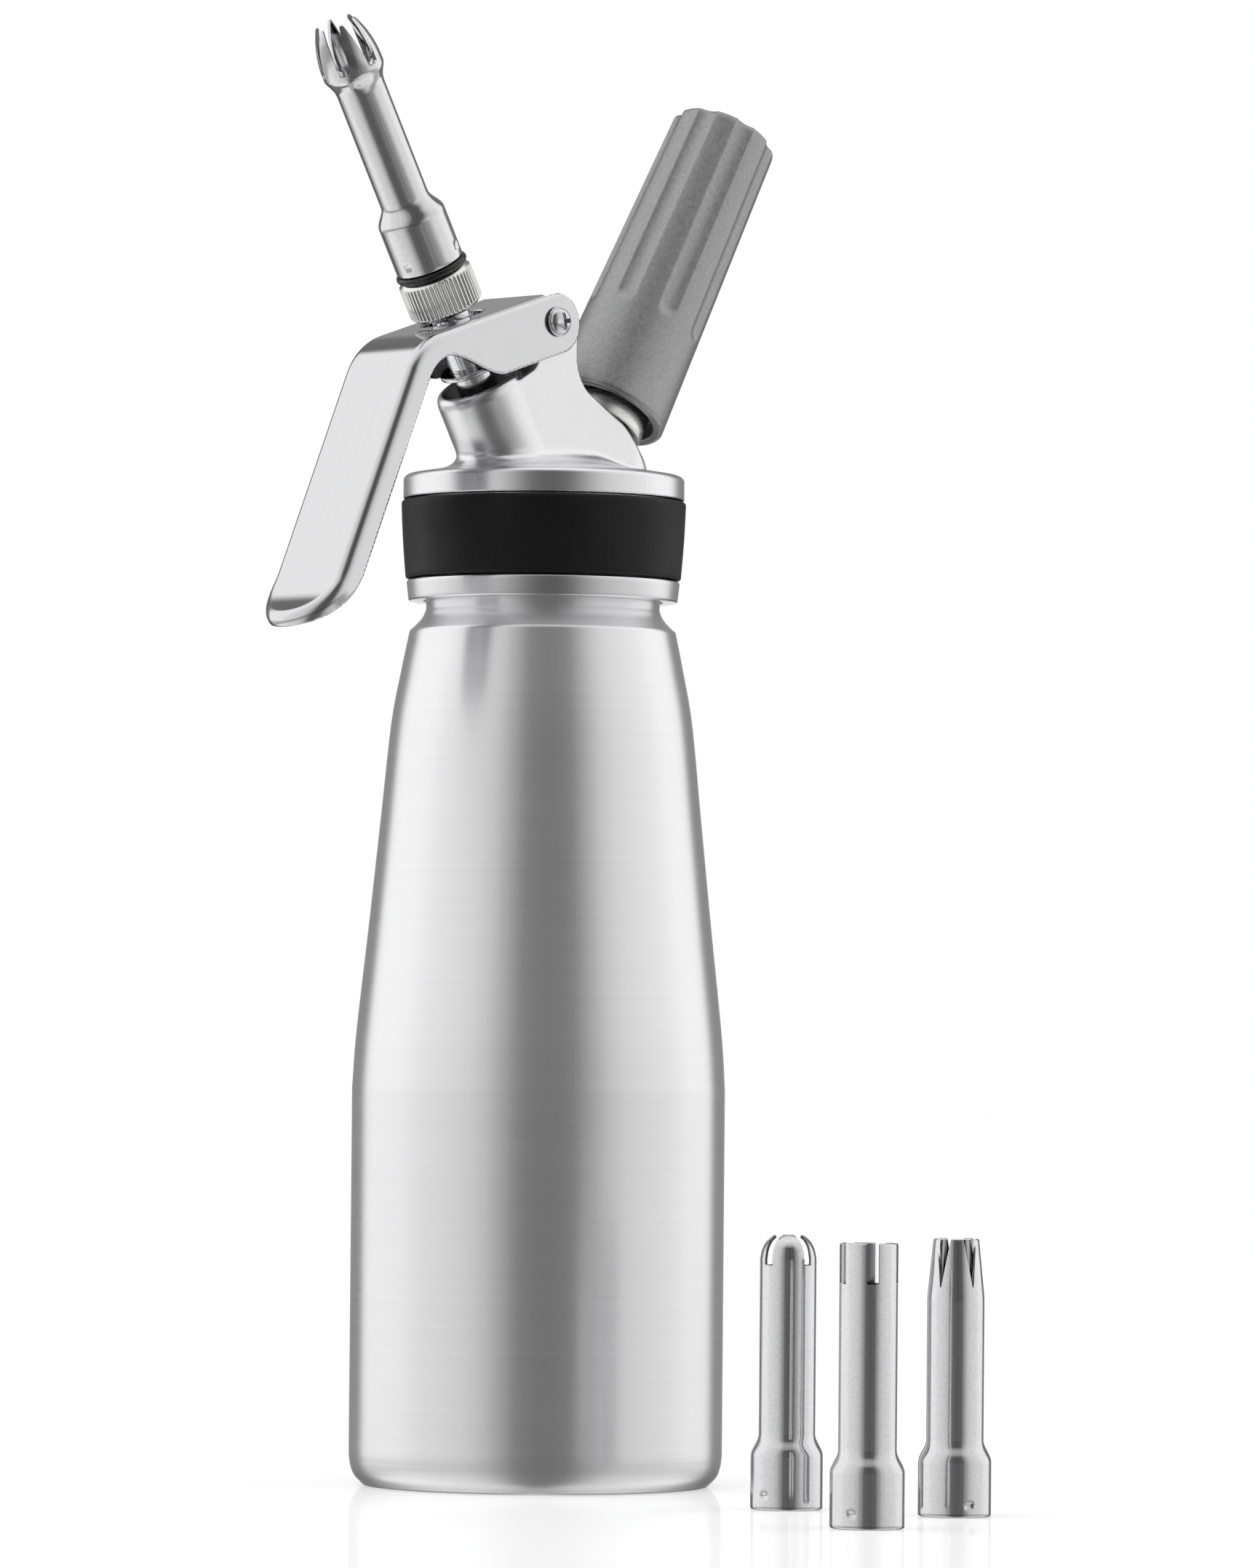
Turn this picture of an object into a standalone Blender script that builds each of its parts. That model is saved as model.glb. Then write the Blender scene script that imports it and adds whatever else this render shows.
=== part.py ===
"""Whipped cream dispenser: an aluminium pressure bottle with a screwed head.

The head carries a lever-operated dispensing valve with its decorating tip and, on the other
side, a screwed holder for a gas charger. Three spare tips stand beside the bottle.
Units are metres, +Z is up, and the origin is the centre of the bottle's base. The lever and the
two slanted axes lie in the XZ plane: the dispensing valve leans towards -X, the charger
towards +X.
"""

import math

import bmesh
import bpy
from mathutils import Matrix, Vector

OBJECT_NAME = "WhippedCreamDispenser"

# Shared clearances and cutting
SEAT_GAP = 0.0003
OVERRUN = 0.002
JOIN_DEPTH = 0.001
MERGE_DISTANCE = 0.000002

# Bottle
BOTTLE_RADIUS = 0.0400
BOTTLE_STRAIGHT_TOP = 0.0850
BOTTLE_SHOULDER_RADIUS = 0.0286
BOTTLE_SHOULDER_HEIGHT = 0.1830
BOTTLE_SHOULDER_ROLL = 0.0012
BOTTLE_WALL = 0.0015
BOTTLE_FLOOR = 0.0022
BASE_FACE_RADIUS = 0.0369
BASE_ROUND_HEIGHT = 0.0065
NECK_RADIUS = 0.0251
NECK_BORE_RADIUS = 0.0233
SHOULDER_HEIGHT = 0.0046
NECK_FOOT_HEIGHT = BOTTLE_SHOULDER_HEIGHT + SHOULDER_HEIGHT
NECK_INNER_DROP = 0.0030
NECK_LENGTH = 0.0204
NECK_TOP_HEIGHT = NECK_FOOT_HEIGHT + NECK_LENGTH
# How far up the taper, and how much of the narrowing is done there
TAPER_SHARES = (
    (0.0, 0.0),
    (0.12, 0.07),
    (0.36, 0.29),
    (0.60, 0.50),
    (0.80, 0.675),
    (0.92, 0.86),
    (1.0, 1.0),
)
BASE_ROUND_SHARES = ((0.0, 0.0), (0.30, 0.60), (0.62, 0.88), (1.0, 1.0))
SHOULDER_SHARES = ((0.0, 0.0), (0.30, 0.42), (0.62, 0.78), (1.0, 1.0))

# Head: collar and grip band
COLLAR_FOOT_GAP = 0.0018
COLLAR_BOTTOM = NECK_FOOT_HEIGHT + COLLAR_FOOT_GAP
COLLAR_RING_HEIGHT = 0.0045
COLLAR_BOTTOM_RADIUS = 0.0289
COLLAR_RING_RADIUS = 0.0294
COLLAR_TOP_RADIUS = 0.0302
COLLAR_BORE_RADIUS = 0.0256
HEAD_GASKET_THICKNESS = 0.0017
COLLAR_CEILING = NECK_TOP_HEIGHT + HEAD_GASKET_THICKNESS + 2 * SEAT_GAP
BAND_TOP_RISE = 0.0010
BAND_TOP = COLLAR_CEILING + BAND_TOP_RISE
BAND_SEAT_RADIUS = 0.0275
BAND_THICKNESS_BOTTOM = 0.0018
BAND_THICKNESS_TOP = 0.0028
FLANGE_HEIGHT = 0.0062
COLLAR_EDGE_HEIGHT = BAND_TOP + FLANGE_HEIGHT
COLLAR_EDGE_ROUND = 0.0014
DOME_RADIUS = 0.0200
DOME_RISE = 0.0023
DOME_HEIGHT = COLLAR_EDGE_HEIGHT + DOME_RISE
GASKET_BORE_RADIUS = 0.0218

# The two slanted axes cross the bottle's axis at one point under the head's ceiling
CROSSING_DEPTH = 0.0103
AXES_CROSSING = COLLAR_CEILING - CROSSING_DEPTH
AXIS_TILT = math.radians(30)

# Head: middle body, spout and lug for the lever
BODY_HALF_WIDTH = 0.0094
BODY_BACK_REACH = 0.0275
BODY_FILLET = 0.0046
BODY_BACK_FILLET_SHARE = 0.40
BODY_BACK_CORNER_ROUND = 0.0045
SHOULDER_PLANE = 0.0320
SPOUT_HEIGHT = 0.0410
SPOUT_LIP_ROUND = 0.0016
SPOUT_MOUTH_RADIUS = 0.0078
LUG_BACK = 0.0008
LUG_TOP_ROUND = 0.0022
LUG_FOOT_FILLET = 0.0040
PIVOT_X = -0.0071
PIVOT_RISE = 0.0488
PIVOT_Z = AXES_CROSSING + PIVOT_RISE
LUG_GAP = 0.0004

# Dispensing valve, measured along its axis from the crossing point
STEM_RADIUS = 0.0043
STEM_BORE_RADIUS = 0.0026
STEM_FOOT_BOTTOM = 0.0085
STEM_FOOT_THICKNESS = 0.0020
STEM_FOOT_RADIUS = 0.0066
STEM_PORT_RADIUS = 0.0014
STEM_PORT_HEIGHT = 0.0170
STEM_TOP = 0.0625
VALVE_SEAT = 0.0138
VALVE_SEAT_BORE_RADIUS = 0.0071
VALVE_CHANNEL_RADIUS = 0.0056
VALVE_CHANNEL_TOP = 0.0200
SPOUT_BORE_RADIUS = 0.0070
GLAND_HEIGHT = 0.0030
SPRING_WIRE = 0.0010
SPRING_TOP = 0.0340
SPRING_TURNS = 5
RETAINER_THICKNESS = 0.0010
RETAINER_RADIUS = 0.0064
WASHER_BOTTOM = 0.0440
WASHER_THICKNESS = 0.0011
WASHER_RADIUS = 0.0068
THRUST_COLLAR_RADIUS = 0.0065
THRUST_COLLAR_HEIGHT = 0.0026

# Tip adapter and its ring
ADAPTER_BOTTOM = 0.0583
ADAPTER_HEIGHT = 0.0089
ADAPTER_RADIUS = 0.0080
ADAPTER_CHAMFER = 0.0006
ADAPTER_RIBS = 48
ADAPTER_RIB_DEPTH = 0.00035
ADAPTER_BOSS_HEIGHT = 0.0062
RING_SECTION = 0.0015

# Decorating tips
TIP_WALL = 0.0007
TIP_HEIGHT = 0.0564
TIP_SKIRT_RADIUS = 0.0074
TIP_SKIRT_HEIGHT = 0.0115
TIP_SHOULDER_HEIGHT = 0.0032
TIP_SHOULDER_SHARES = ((0.0, 0.0), (0.22, 0.16), (0.5, 0.5), (0.78, 0.84), (1.0, 1.0))
TULIP_TUBE_RADIUS = 0.00533
TULIP_CROWN_RADIUS = 0.0067
TULIP_MOUTH_RADIUS = 0.0044
TULIP_CROWN_LENGTH = 0.0040
TULIP_CROWN_SHARES = ((0.0, 0.0), (0.3, 0.14), (0.6, 0.50), (0.82, 0.82), (1.0, 1.0))
TULIP_PRONG_SHARES = ((0.0, 0.0), (0.22, 0.02), (0.45, 0.16), (0.68, 0.42), (0.86, 0.72), (1.0, 1.0))
TULIP_PRONGS = 6
TULIP_PRONG_LENGTH = 0.0112
TULIP_SLOT_TOP_WIDTH = 0.0031
TULIP_SLOT_FOOT_WIDTH = 0.0016
SPARE_HEIGHT = 0.0560
SPARE_TUBE_RADIUS = 0.0058
ROUND_TIP_SLOTS = 4
ROUND_TIP_SLOT_DEPTH = 0.0062
ROUND_TIP_SLOT_WIDTH = 0.0022
ROUND_TIP_MOUTH_RADIUS = 0.00285
ROUND_TIP_DOME_HEIGHT = 0.0048
DOME_SHARES = ((0.0, 0.0), (0.40, 0.14), (0.70, 0.40), (0.90, 0.72), (1.0, 1.0))
STRAIGHT_TIP_SLOTS = 5
STRAIGHT_TIP_SLOT_DEPTH = 0.0080
STRAIGHT_TIP_SLOT_WIDTH = 0.0024
STAR_TIP_SLOTS = 5
STAR_TIP_SLOT_DEPTH = 0.0107
STAR_TIP_SLOT_WIDTH = 0.0033
STAR_TIP_MOUTH_RADIUS = 0.0046
STAR_TIP_TAPER_HEIGHT = 0.0120
ROUND_TIP_PLACE = (-0.0189, -0.0928)
STRAIGHT_TIP_PLACE = (-0.0524, -0.1470)
STAR_TIP_PLACE = (-0.0086, -0.1300)

# Lever: a channel. Distances run from the pivot, along the web and square to it
LEVER_HALF_WIDTH = 0.0110
LEVER_CHEEK = 0.0013
LEVER_WEB = 0.0018
LEVER_EDGE_ROUND = 0.0024
WEB_SLOPE = math.radians(18)
WEB_ABOVE_PIVOT = 0.0063
CHEEK_BELOW_PIVOT = 0.0069
WEB_START = 0.0005
WEB_CORNER = 0.0395
ARCH_START = 0.0175
ARCH_END = 0.0335
BEND_RADIUS = 0.0150
HANDLE_LEAN = math.radians(23.7)
HANDLE_STRAIGHT = 0.0524
HANDLE_DEPTH = 0.0054
FLARE_RADIUS = 0.0230
FLARE_ANGLE = math.radians(36)
FLARE_DEPTH = 0.0028
FLARE_RIM = 0.0025
STEM_SLOT_HALF_WIDTH = 0.0049
STEM_SLOT_REACH = 0.0078

# Lever pivot
PIVOT_RADIUS = 0.0020
SCREW_HEAD_RADIUS = 0.0030
SCREW_HEAD_HEIGHT = 0.0014
SCREW_FLANGE_RADIUS = 0.0032
SCREW_FLANGE_HEIGHT = 0.0006
SCREW_RECESS_WIDTH = 0.0008
SCREW_RECESS_LENGTH = 0.0036
SCREW_RECESS_DEPTH = 0.0009
NUT_RADIUS = 0.0034
NUT_HEIGHT = 0.0022

# Charger side, measured along its axis from the crossing point
PORT_RADIUS = 0.0096
PORT_TOP = 0.0440
PORT_CHAMFER = 0.0008
PORT_SHANK_RADIUS = 0.0060
PORT_SHANK_BOTTOM = 0.0243
PORT_THROAT_RADIUS = 0.0050
PORT_THROAT_BOTTOM = 0.0346
PORT_LEAD_IN = 0.0030
GAS_PASSAGE_RADIUS = 0.0015
PIN_SEAT_RADIUS = 0.0033
PIN_SEAT_BOTTOM = 0.0313
PIN_BASE_HEIGHT = 0.0030
PIN_NEEDLE_RADIUS = 0.0009
PIN_POINT = 0.0382
PIN_POINT_LENGTH = 0.0012
PIN_POINT_LAND = 0.0001
PIN_HOLE_RADIUS = 0.0004
PORT_GASKET_HEIGHT = 0.0011
PORT_GASKET_BORE_RADIUS = 0.0020
CHECK_SEAT_BOTTOM = 0.0190
CHECK_SEAT_RADIUS = 0.0045
CHECK_BORE_RADIUS = 0.0014
CHARGER_RADIUS = 0.0088
CHARGER_LENGTH = 0.0656
CHARGER_NECK_RADIUS = 0.0044
CHARGER_NECK_LENGTH = 0.0062
CHARGER_SHOULDER_LENGTH = 0.0100
CHARGER_SHOULDER_SHARES = ((0.0, 0.0), (0.18, 0.16), (0.42, 0.50), (0.70, 0.84), (1.0, 1.0))
CHARGER_END_SHARE = 0.75
CHARGER_WALL = 0.0013
CHARGER_HOLE_RADIUS = 0.0013
HOLDER_BOTTOM = 0.0360
HOLDER_LENGTH = 0.0730
HOLDER_MOUTH_RADIUS = 0.0134
HOLDER_END_RADIUS = 0.0117
HOLDER_MOUTH_BORE_RADIUS = 0.0112
HOLDER_MOUTH_BORE_DEPTH = 0.0045
HOLDER_THREAD_DEPTH = 0.0050
HOLDER_EDGE_ROUND = 0.0009
FLUTES = 8
FLUTE_WIDTH = 0.0043
FLUTE_DEPTH = 0.0007
FLUTE_LENGTH = 0.0510
FLUTE_TURN = 0.5

# How finely round shapes are divided
ROUND_STEPS = 36
SMALL_ROUND_STEPS = 20
ARC_STEPS = 5
LEVER_ARCH_STEPS = 11

# Colour, roughness and metallic value of each finish
FINISHES = {
    "brushed_aluminium": ((0.74, 0.75, 0.76), 0.32, 1.0),
    "blasted_aluminium": ((0.83, 0.84, 0.85), 0.38, 1.0),
    "polished_steel": ((0.76, 0.77, 0.78), 0.12, 1.0),
    "ribbed_nickel": ((0.80, 0.79, 0.77), 0.22, 1.0),
    "spring_steel": ((0.55, 0.56, 0.58), 0.28, 1.0),
    "charger_steel": ((0.62, 0.63, 0.65), 0.30, 1.0),
    "cast_grey": ((0.33, 0.33, 0.34), 0.55, 0.9),
    "black_grip": ((0.012, 0.012, 0.013), 0.55, 0.0),
    "black_seal": ((0.010, 0.010, 0.010), 0.50, 0.0),
    "clear_silicone": ((0.62, 0.60, 0.56), 0.50, 0.0),
}


def web_underside(radius):
    """Where the web's underside is along the valve's axis, at this radius on the lever's side."""
    lean = AXIS_TILT - WEB_SLOPE
    foot = WEB_ABOVE_PIVOT - LEVER_WEB - PIVOT_X * math.sin(WEB_SLOPE)
    foot += (PIVOT_Z - AXES_CROSSING) * math.cos(WEB_SLOPE)
    return (foot - radius * math.sin(lean)) / math.cos(lean)


# Values worked out from the ones above
LUG_RADIUS = WEB_ABOVE_PIVOT - LEVER_WEB - LUG_GAP
THRUST_CONTACT_RADIUS = math.sqrt(THRUST_COLLAR_RADIUS**2 - STEM_SLOT_HALF_WIDTH**2)
THRUST_COLLAR_TOP = web_underside(THRUST_CONTACT_RADIUS) - SEAT_GAP
THRUST_COLLAR_BOTTOM = THRUST_COLLAR_TOP - THRUST_COLLAR_HEIGHT
ADAPTER_TOP = ADAPTER_BOTTOM + ADAPTER_HEIGHT
RING_CENTRE = ADAPTER_TOP + RING_SECTION / 2 + SEAT_GAP / 2
TIP_BASE = ADAPTER_TOP + RING_SECTION + SEAT_GAP
BOSS_RADIUS = TIP_SKIRT_RADIUS - TIP_WALL - 2 * SEAT_GAP
HOLDER_TOP = HOLDER_BOTTOM + HOLDER_LENGTH
CHARGER_NECK_TIP = PORT_THROAT_BOTTOM + PORT_GASKET_HEIGHT + 2 * SEAT_GAP
CHARGER_END = CHARGER_NECK_TIP + CHARGER_LENGTH
HOLDER_BORE_RADIUS = CHARGER_RADIUS + SEAT_GAP
HOLDER_THREAD_RADIUS = PORT_RADIUS + SEAT_GAP


def clear_scene():
    for obj in list(bpy.data.objects):
        bpy.data.objects.remove(obj)


def new_collection(name):
    collection = bpy.data.collections.new(name)
    bpy.context.scene.collection.children.link(collection)
    return collection


def finish_material(name):
    colour, roughness, metallic = FINISHES[name]
    material = bpy.data.materials.get(name) or bpy.data.materials.new(name)
    material.use_nodes = True
    shader = material.node_tree.nodes["Principled BSDF"]
    shader.inputs["Base Color"].default_value = (*colour, 1.0)
    shader.inputs["Roughness"].default_value = roughness
    shader.inputs["Metallic"].default_value = metallic
    return material


def add_frame(name, location=(0, 0, 0), tilt=0.0, parent=None):
    """An empty whose +Z leans by tilt from the vertical, towards +X."""
    frame = bpy.data.objects.new(name, None)
    frame.empty_display_size = BOTTLE_RADIUS
    frame.location = location
    frame.rotation_euler = (0, tilt, 0)
    frame.parent = parent
    parts.objects.link(frame)
    return frame


def place(obj, frame, collection, finish=None):
    obj.parent = frame
    for old in list(obj.users_collection):
        old.objects.unlink(obj)
    collection.objects.link(obj)
    if collection is cutters:
        obj.hide_render = True
        obj.display_type = "WIRE"
    if finish:
        obj.data.materials.clear()
        obj.data.materials.append(finish_material(finish))
    return obj


def smooth(obj, angle=math.radians(35)):
    obj.data.shade_smooth()
    obj.data.set_sharp_from_angle(angle=angle)
    return obj


def object_from_bmesh(name, shape):
    bmesh.ops.recalc_face_normals(shape, faces=shape.faces)
    mesh = bpy.data.meshes.new(name)
    shape.to_mesh(mesh)
    shape.free()
    return bpy.data.objects.new(name, mesh)


def turned(name, profile, frame, collection, finish=None, steps=ROUND_STEPS, closed=False):
    """A turned shape: (radius, height) points run down the outside and back up the inside."""
    mesh = bpy.data.meshes.new(name)
    count = len(profile)
    edges = [(i, i + 1) for i in range(count - 1)]
    if closed:
        edges.append((count - 1, 0))
    mesh.from_pydata([(radius, 0, height) for radius, height in profile], edges, [])
    obj = place(bpy.data.objects.new(name, mesh), frame, collection, finish)
    screw = obj.modifiers.new("Turn", "SCREW")
    screw.steps = steps
    screw.render_steps = steps
    screw.use_merge_vertices = True
    screw.merge_threshold = MERGE_DISTANCE
    screw.use_smooth_shade = True
    return obj


def ring(name, inner, outer, bottom, top, frame, collection, finish=None, steps=ROUND_STEPS):
    profile = [(outer, top), (outer, bottom), (inner, bottom), (inner, top)]
    return turned(name, profile, frame, collection, finish, steps, closed=True)


def disc(name, radius, bottom, top, frame, collection, finish=None, steps=ROUND_STEPS):
    profile = [(0, top), (radius, top), (radius, bottom), (0, bottom)]
    return turned(name, profile, frame, collection, finish, steps)


def o_ring(name, radius, section, height, frame, collection, finish, steps=ROUND_STEPS):
    turn = 2 * math.pi / (2 * ARC_STEPS)
    profile = [
        (radius + section / 2 * math.cos(-i * turn), height + section / 2 * math.sin(-i * turn))
        for i in range(2 * ARC_STEPS)
    ]
    return turned(name, profile, frame, collection, finish, steps, closed=True)


def baked(obj, collection):
    """The object's evaluated shape as a plain mesh with its doubles merged, in its place."""
    graph = bpy.context.evaluated_depsgraph_get()
    mesh = bpy.data.meshes.new_from_object(obj.evaluated_get(graph))
    shape = bmesh.new()
    shape.from_mesh(mesh)
    bmesh.ops.remove_doubles(shape, verts=shape.verts, dist=MERGE_DISTANCE)
    shape.to_mesh(mesh)
    shape.free()
    name = obj.name
    frame, matrix = obj.parent, obj.matrix_local.copy()
    bpy.data.objects.remove(obj)
    mesh.name = name
    result = bpy.data.objects.new(name, mesh)
    result.parent = frame
    result.matrix_local = matrix
    return place(result, frame, collection)


def plate(name, outline, half_width, frame, collection, finish=None):
    """A flat outline of (x, z) points, made thick to both sides of the XZ plane."""
    curve = bpy.data.curves.new(name, "CURVE")
    curve.dimensions = "2D"
    curve.fill_mode = "BOTH"
    curve.extrude = half_width
    spline = curve.splines.new("POLY")
    spline.points.add(len(outline) - 1)
    for point, (x, z) in zip(spline.points, outline):
        point.co = (x, z, 0, 1)
    spline.use_cyclic_u = True
    obj = bpy.data.objects.new(name, curve)
    obj.rotation_euler = (math.radians(90), 0, 0)
    place(obj, frame, collection)
    solid = baked(obj, collection)
    if finish:
        place(solid, frame, collection, finish)
    return solid


def boolean(target, cutter, operation="DIFFERENCE", solver="EXACT"):
    modifier = target.modifiers.new(cutter.name, "BOOLEAN")
    modifier.operation = operation
    modifier.solver = solver
    modifier.object = cutter


def cut(target, cutter):
    """A cut through faces that lie flush, where the exact solver leaves open edges."""
    boolean(target, cutter, "DIFFERENCE", "MANIFOLD")


def arc(centre, radius, start, end, steps=ARC_STEPS):
    """Points of an arc, both ends included; angles from +X towards +Z."""
    return [
        (
            centre[0] + radius * math.cos(start + (end - start) * i / steps),
            centre[1] + radius * math.sin(start + (end - start) * i / steps),
        )
        for i in range(steps + 1)
    ]


def rounded(corners, steps=ARC_STEPS):
    """A closed outline of (x, z, radius) corners, each corner an arc of its radius."""
    outline = []
    for i, (x, z, radius) in enumerate(corners):
        if not radius:
            outline.append((x, z))
            continue
        corner = Vector((x, z))
        before = (Vector(corners[i - 1][:2]) - corner).normalized()
        after = (Vector(corners[(i + 1) % len(corners)][:2]) - corner).normalized()
        half = before.angle(after) / 2
        centre = corner + (before + after).normalized() * radius / math.sin(half)
        first = corner + before * radius / math.tan(half) - centre
        last = corner + after * radius / math.tan(half) - centre
        start = math.atan2(first.y, first.x)
        sweep = math.remainder(math.atan2(last.y, last.x) - start, 2 * math.pi)
        outline += arc(centre, radius, start, start + sweep, steps)
    return outline


def smooth_path(points, steps):
    """Points along a Catmull-Rom curve through all the given ones."""
    path = []
    ends = [points[0]] + list(points) + [points[-1]]
    for a, b, c, d in zip(ends, ends[1:], ends[2:], ends[3:]):
        for i in range(steps):
            t = i / steps
            path.append(
                tuple(
                    b[k]
                    + (c[k] - a[k]) * t / 2
                    + (a[k] - 2.5 * b[k] + 2 * c[k] - d[k] / 2) * t**2
                    + (1.5 * (b[k] - c[k]) + (d[k] - a[k]) / 2) * t**3
                    for k in range(2)
                )
            )
    return path + [points[-1]]


def shared(shares, start, end):
    """Shares of a way between two (radius, height) points: height share, radius share."""
    return [
        (start[0] + (end[0] - start[0]) * across, start[1] + (end[1] - start[1]) * along)
        for along, across in shares
    ]


def cylinder_along_y(name, radius, half_length, place_at, collection, steps=SMALL_ROUND_STEPS):
    shape = bmesh.new()
    bmesh.ops.create_cone(
        shape,
        cap_ends=True,
        segments=steps,
        radius1=radius,
        radius2=radius,
        depth=2 * half_length,
        matrix=Matrix.Rotation(math.radians(90), 4, "X"),
    )
    obj = object_from_bmesh(name, shape)
    obj.location = place_at
    return place(obj, None, collection)


def radial_cutters(count, outline, near, far, turn):
    """Prisms round the axis. The outline's (across, height) points run from near to far."""
    shape = bmesh.new()
    for i in range(count):
        spin = Matrix.Rotation(turn + 2 * math.pi * i / count, 4, "Z")
        inner = [shape.verts.new(spin @ Vector((near, x, z))) for x, z in outline]
        outer = [shape.verts.new(spin @ Vector((far, x, z))) for x, z in outline]
        for j in range(len(outline)):
            k = (j + 1) % len(outline)
            shape.faces.new((inner[j], inner[k], outer[k], outer[j]))
        shape.faces.new(inner)
        shape.faces.new(list(reversed(outer)))
    return shape


def column(name, outline, bottom, top, frame, collection, finish=None):
    """A flat outline of (x, y) points, raised along the frame's Z from bottom to top."""
    solid = plate(name, outline, (top - bottom) / 2, frame, collection, finish)
    solid.rotation_euler = (0, 0, 0)
    solid.location = (0, 0, (bottom + top) / 2)
    return solid


def inward(points, wall):
    """The points moved in by the wall, square to their own path. The path runs upwards."""
    moved = []
    for i, (radius, height) in enumerate(points):
        before = points[max(i - 1, 0)]
        after = points[min(i + 1, len(points) - 1)]
        across, along = after[0] - before[0], after[1] - before[1]
        length = math.hypot(across, along)
        moved.append((radius - wall * along / length, height + wall * across / length))
    return moved


def make_bottle():
    base = shared(BASE_ROUND_SHARES, (BASE_FACE_RADIUS, 0), (BOTTLE_RADIUS, BASE_ROUND_HEIGHT))
    foot = (BOTTLE_RADIUS, BOTTLE_STRAIGHT_TOP)
    roll = (BOTTLE_SHOULDER_RADIUS, BOTTLE_SHOULDER_HEIGHT)
    neck = (NECK_RADIUS, NECK_FOOT_HEIGHT)
    taper = shared(TAPER_SHARES, foot, roll)
    shoulder = shared(SHOULDER_SHARES, roll, neck)
    outside = base + smooth_path(taper, 2) + shoulder[1:] + [(NECK_RADIUS, NECK_TOP_HEIGHT)]
    floor_corner = (BOTTLE_RADIUS - BOTTLE_WALL, BASE_ROUND_HEIGHT)
    inside = [(0, BOTTLE_FLOOR), (BASE_FACE_RADIUS - BOTTLE_WALL, BOTTLE_FLOOR), floor_corner]
    inside += inward(taper[:-1], BOTTLE_WALL)
    inside += [(NECK_BORE_RADIUS, NECK_FOOT_HEIGHT - NECK_INNER_DROP)]
    inside += [(NECK_BORE_RADIUS, NECK_TOP_HEIGHT)]
    turned("bottle", inside + outside[::-1] + [(0, 0)], bottle_frame, parts, "brushed_aluminium")


def make_head_gasket():
    ring(
        "head_gasket",
        GASKET_BORE_RADIUS,
        NECK_RADIUS,
        NECK_TOP_HEIGHT + SEAT_GAP,
        COLLAR_CEILING - SEAT_GAP,
        gasket_frame,
        parts,
        "clear_silicone",
    )


def plane_height(distance, tilt, x):
    """Height, at x, of the plane square to a slanted axis at this distance along it."""
    return AXES_CROSSING + (distance - x * math.sin(tilt)) / math.cos(tilt)


def body_section(height):
    """The middle body cut level: the slanted spout's oval, flat sides and a round back."""
    fillet_top = COLLAR_EDGE_HEIGHT + BODY_FILLET
    below = min(max(fillet_top - height, 0), BODY_FILLET)
    flare = BODY_FILLET - math.sqrt(BODY_FILLET**2 - below**2)
    front = (height - AXES_CROSSING) * math.tan(-AXIS_TILT)
    back = BODY_BACK_REACH - BODY_HALF_WIDTH
    half = BODY_HALF_WIDTH + flare
    back_half = BODY_HALF_WIDTH + flare * BODY_BACK_FILLET_SHARE
    section = []
    for i in range(2 * ARC_STEPS + 1):
        turn = math.pi / 2 + math.pi * i / (2 * ARC_STEPS)
        x = front + half * math.cos(turn) / math.cos(AXIS_TILT)
        section.append((x, half * math.sin(turn), height))
    for i in range(2 * ARC_STEPS + 1):
        turn = -math.pi / 2 + math.pi * i / (2 * ARC_STEPS)
        section.append((back + back_half * math.cos(turn), back_half * math.sin(turn), height))
    return section


def make_body_block():
    """A loft of level sections, trimmed to the head's side view."""
    low = COLLAR_EDGE_HEIGHT - JOIN_DEPTH
    top = PIVOT_Z + LUG_RADIUS + OVERRUN
    levels = [low] + [COLLAR_EDGE_HEIGHT + BODY_FILLET * i / ARC_STEPS for i in range(ARC_STEPS + 1)]
    levels.append(top)
    shape = bmesh.new()
    rings = [[shape.verts.new(point) for point in body_section(level)] for level in levels]
    for lower, upper in zip(rings, rings[1:]):
        for j in range(len(lower)):
            k = (j + 1) % len(lower)
            shape.faces.new((lower[j], lower[k], upper[k], upper[j]))
    shape.faces.new(list(reversed(rings[0])))
    shape.faces.new(rings[-1])
    block = place(object_from_bmesh("body_block", shape), head_frame, cutters)
    far = BODY_BACK_REACH + BODY_FILLET
    rim = SPOUT_HEIGHT - SPOUT_LIP_ROUND
    front = PIVOT_X - LUG_RADIUS
    back = BODY_BACK_REACH + BODY_FILLET * BODY_BACK_FILLET_SHARE / 2
    side_view = rounded(
        [
            (-far, low - OVERRUN, 0),
            (-far, plane_height(rim, -AXIS_TILT, -far), 0),
            (front, plane_height(rim, -AXIS_TILT, front), SPOUT_LIP_ROUND),
            (front, PIVOT_Z + LUG_RADIUS, LUG_RADIUS),
            (LUG_BACK, PIVOT_Z + LUG_RADIUS, LUG_TOP_ROUND),
            (LUG_BACK, plane_height(SHOULDER_PLANE, AXIS_TILT, LUG_BACK), LUG_FOOT_FILLET),
            (back, plane_height(SHOULDER_PLANE, AXIS_TILT, back), BODY_BACK_CORNER_ROUND),
            (back, low - OVERRUN, 0),
        ]
    )
    view = plate("side_view", side_view, BODY_HALF_WIDTH + BODY_FILLET + OVERRUN, head_frame, cutters)
    boolean(block, view, "INTERSECT")
    return block


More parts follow.
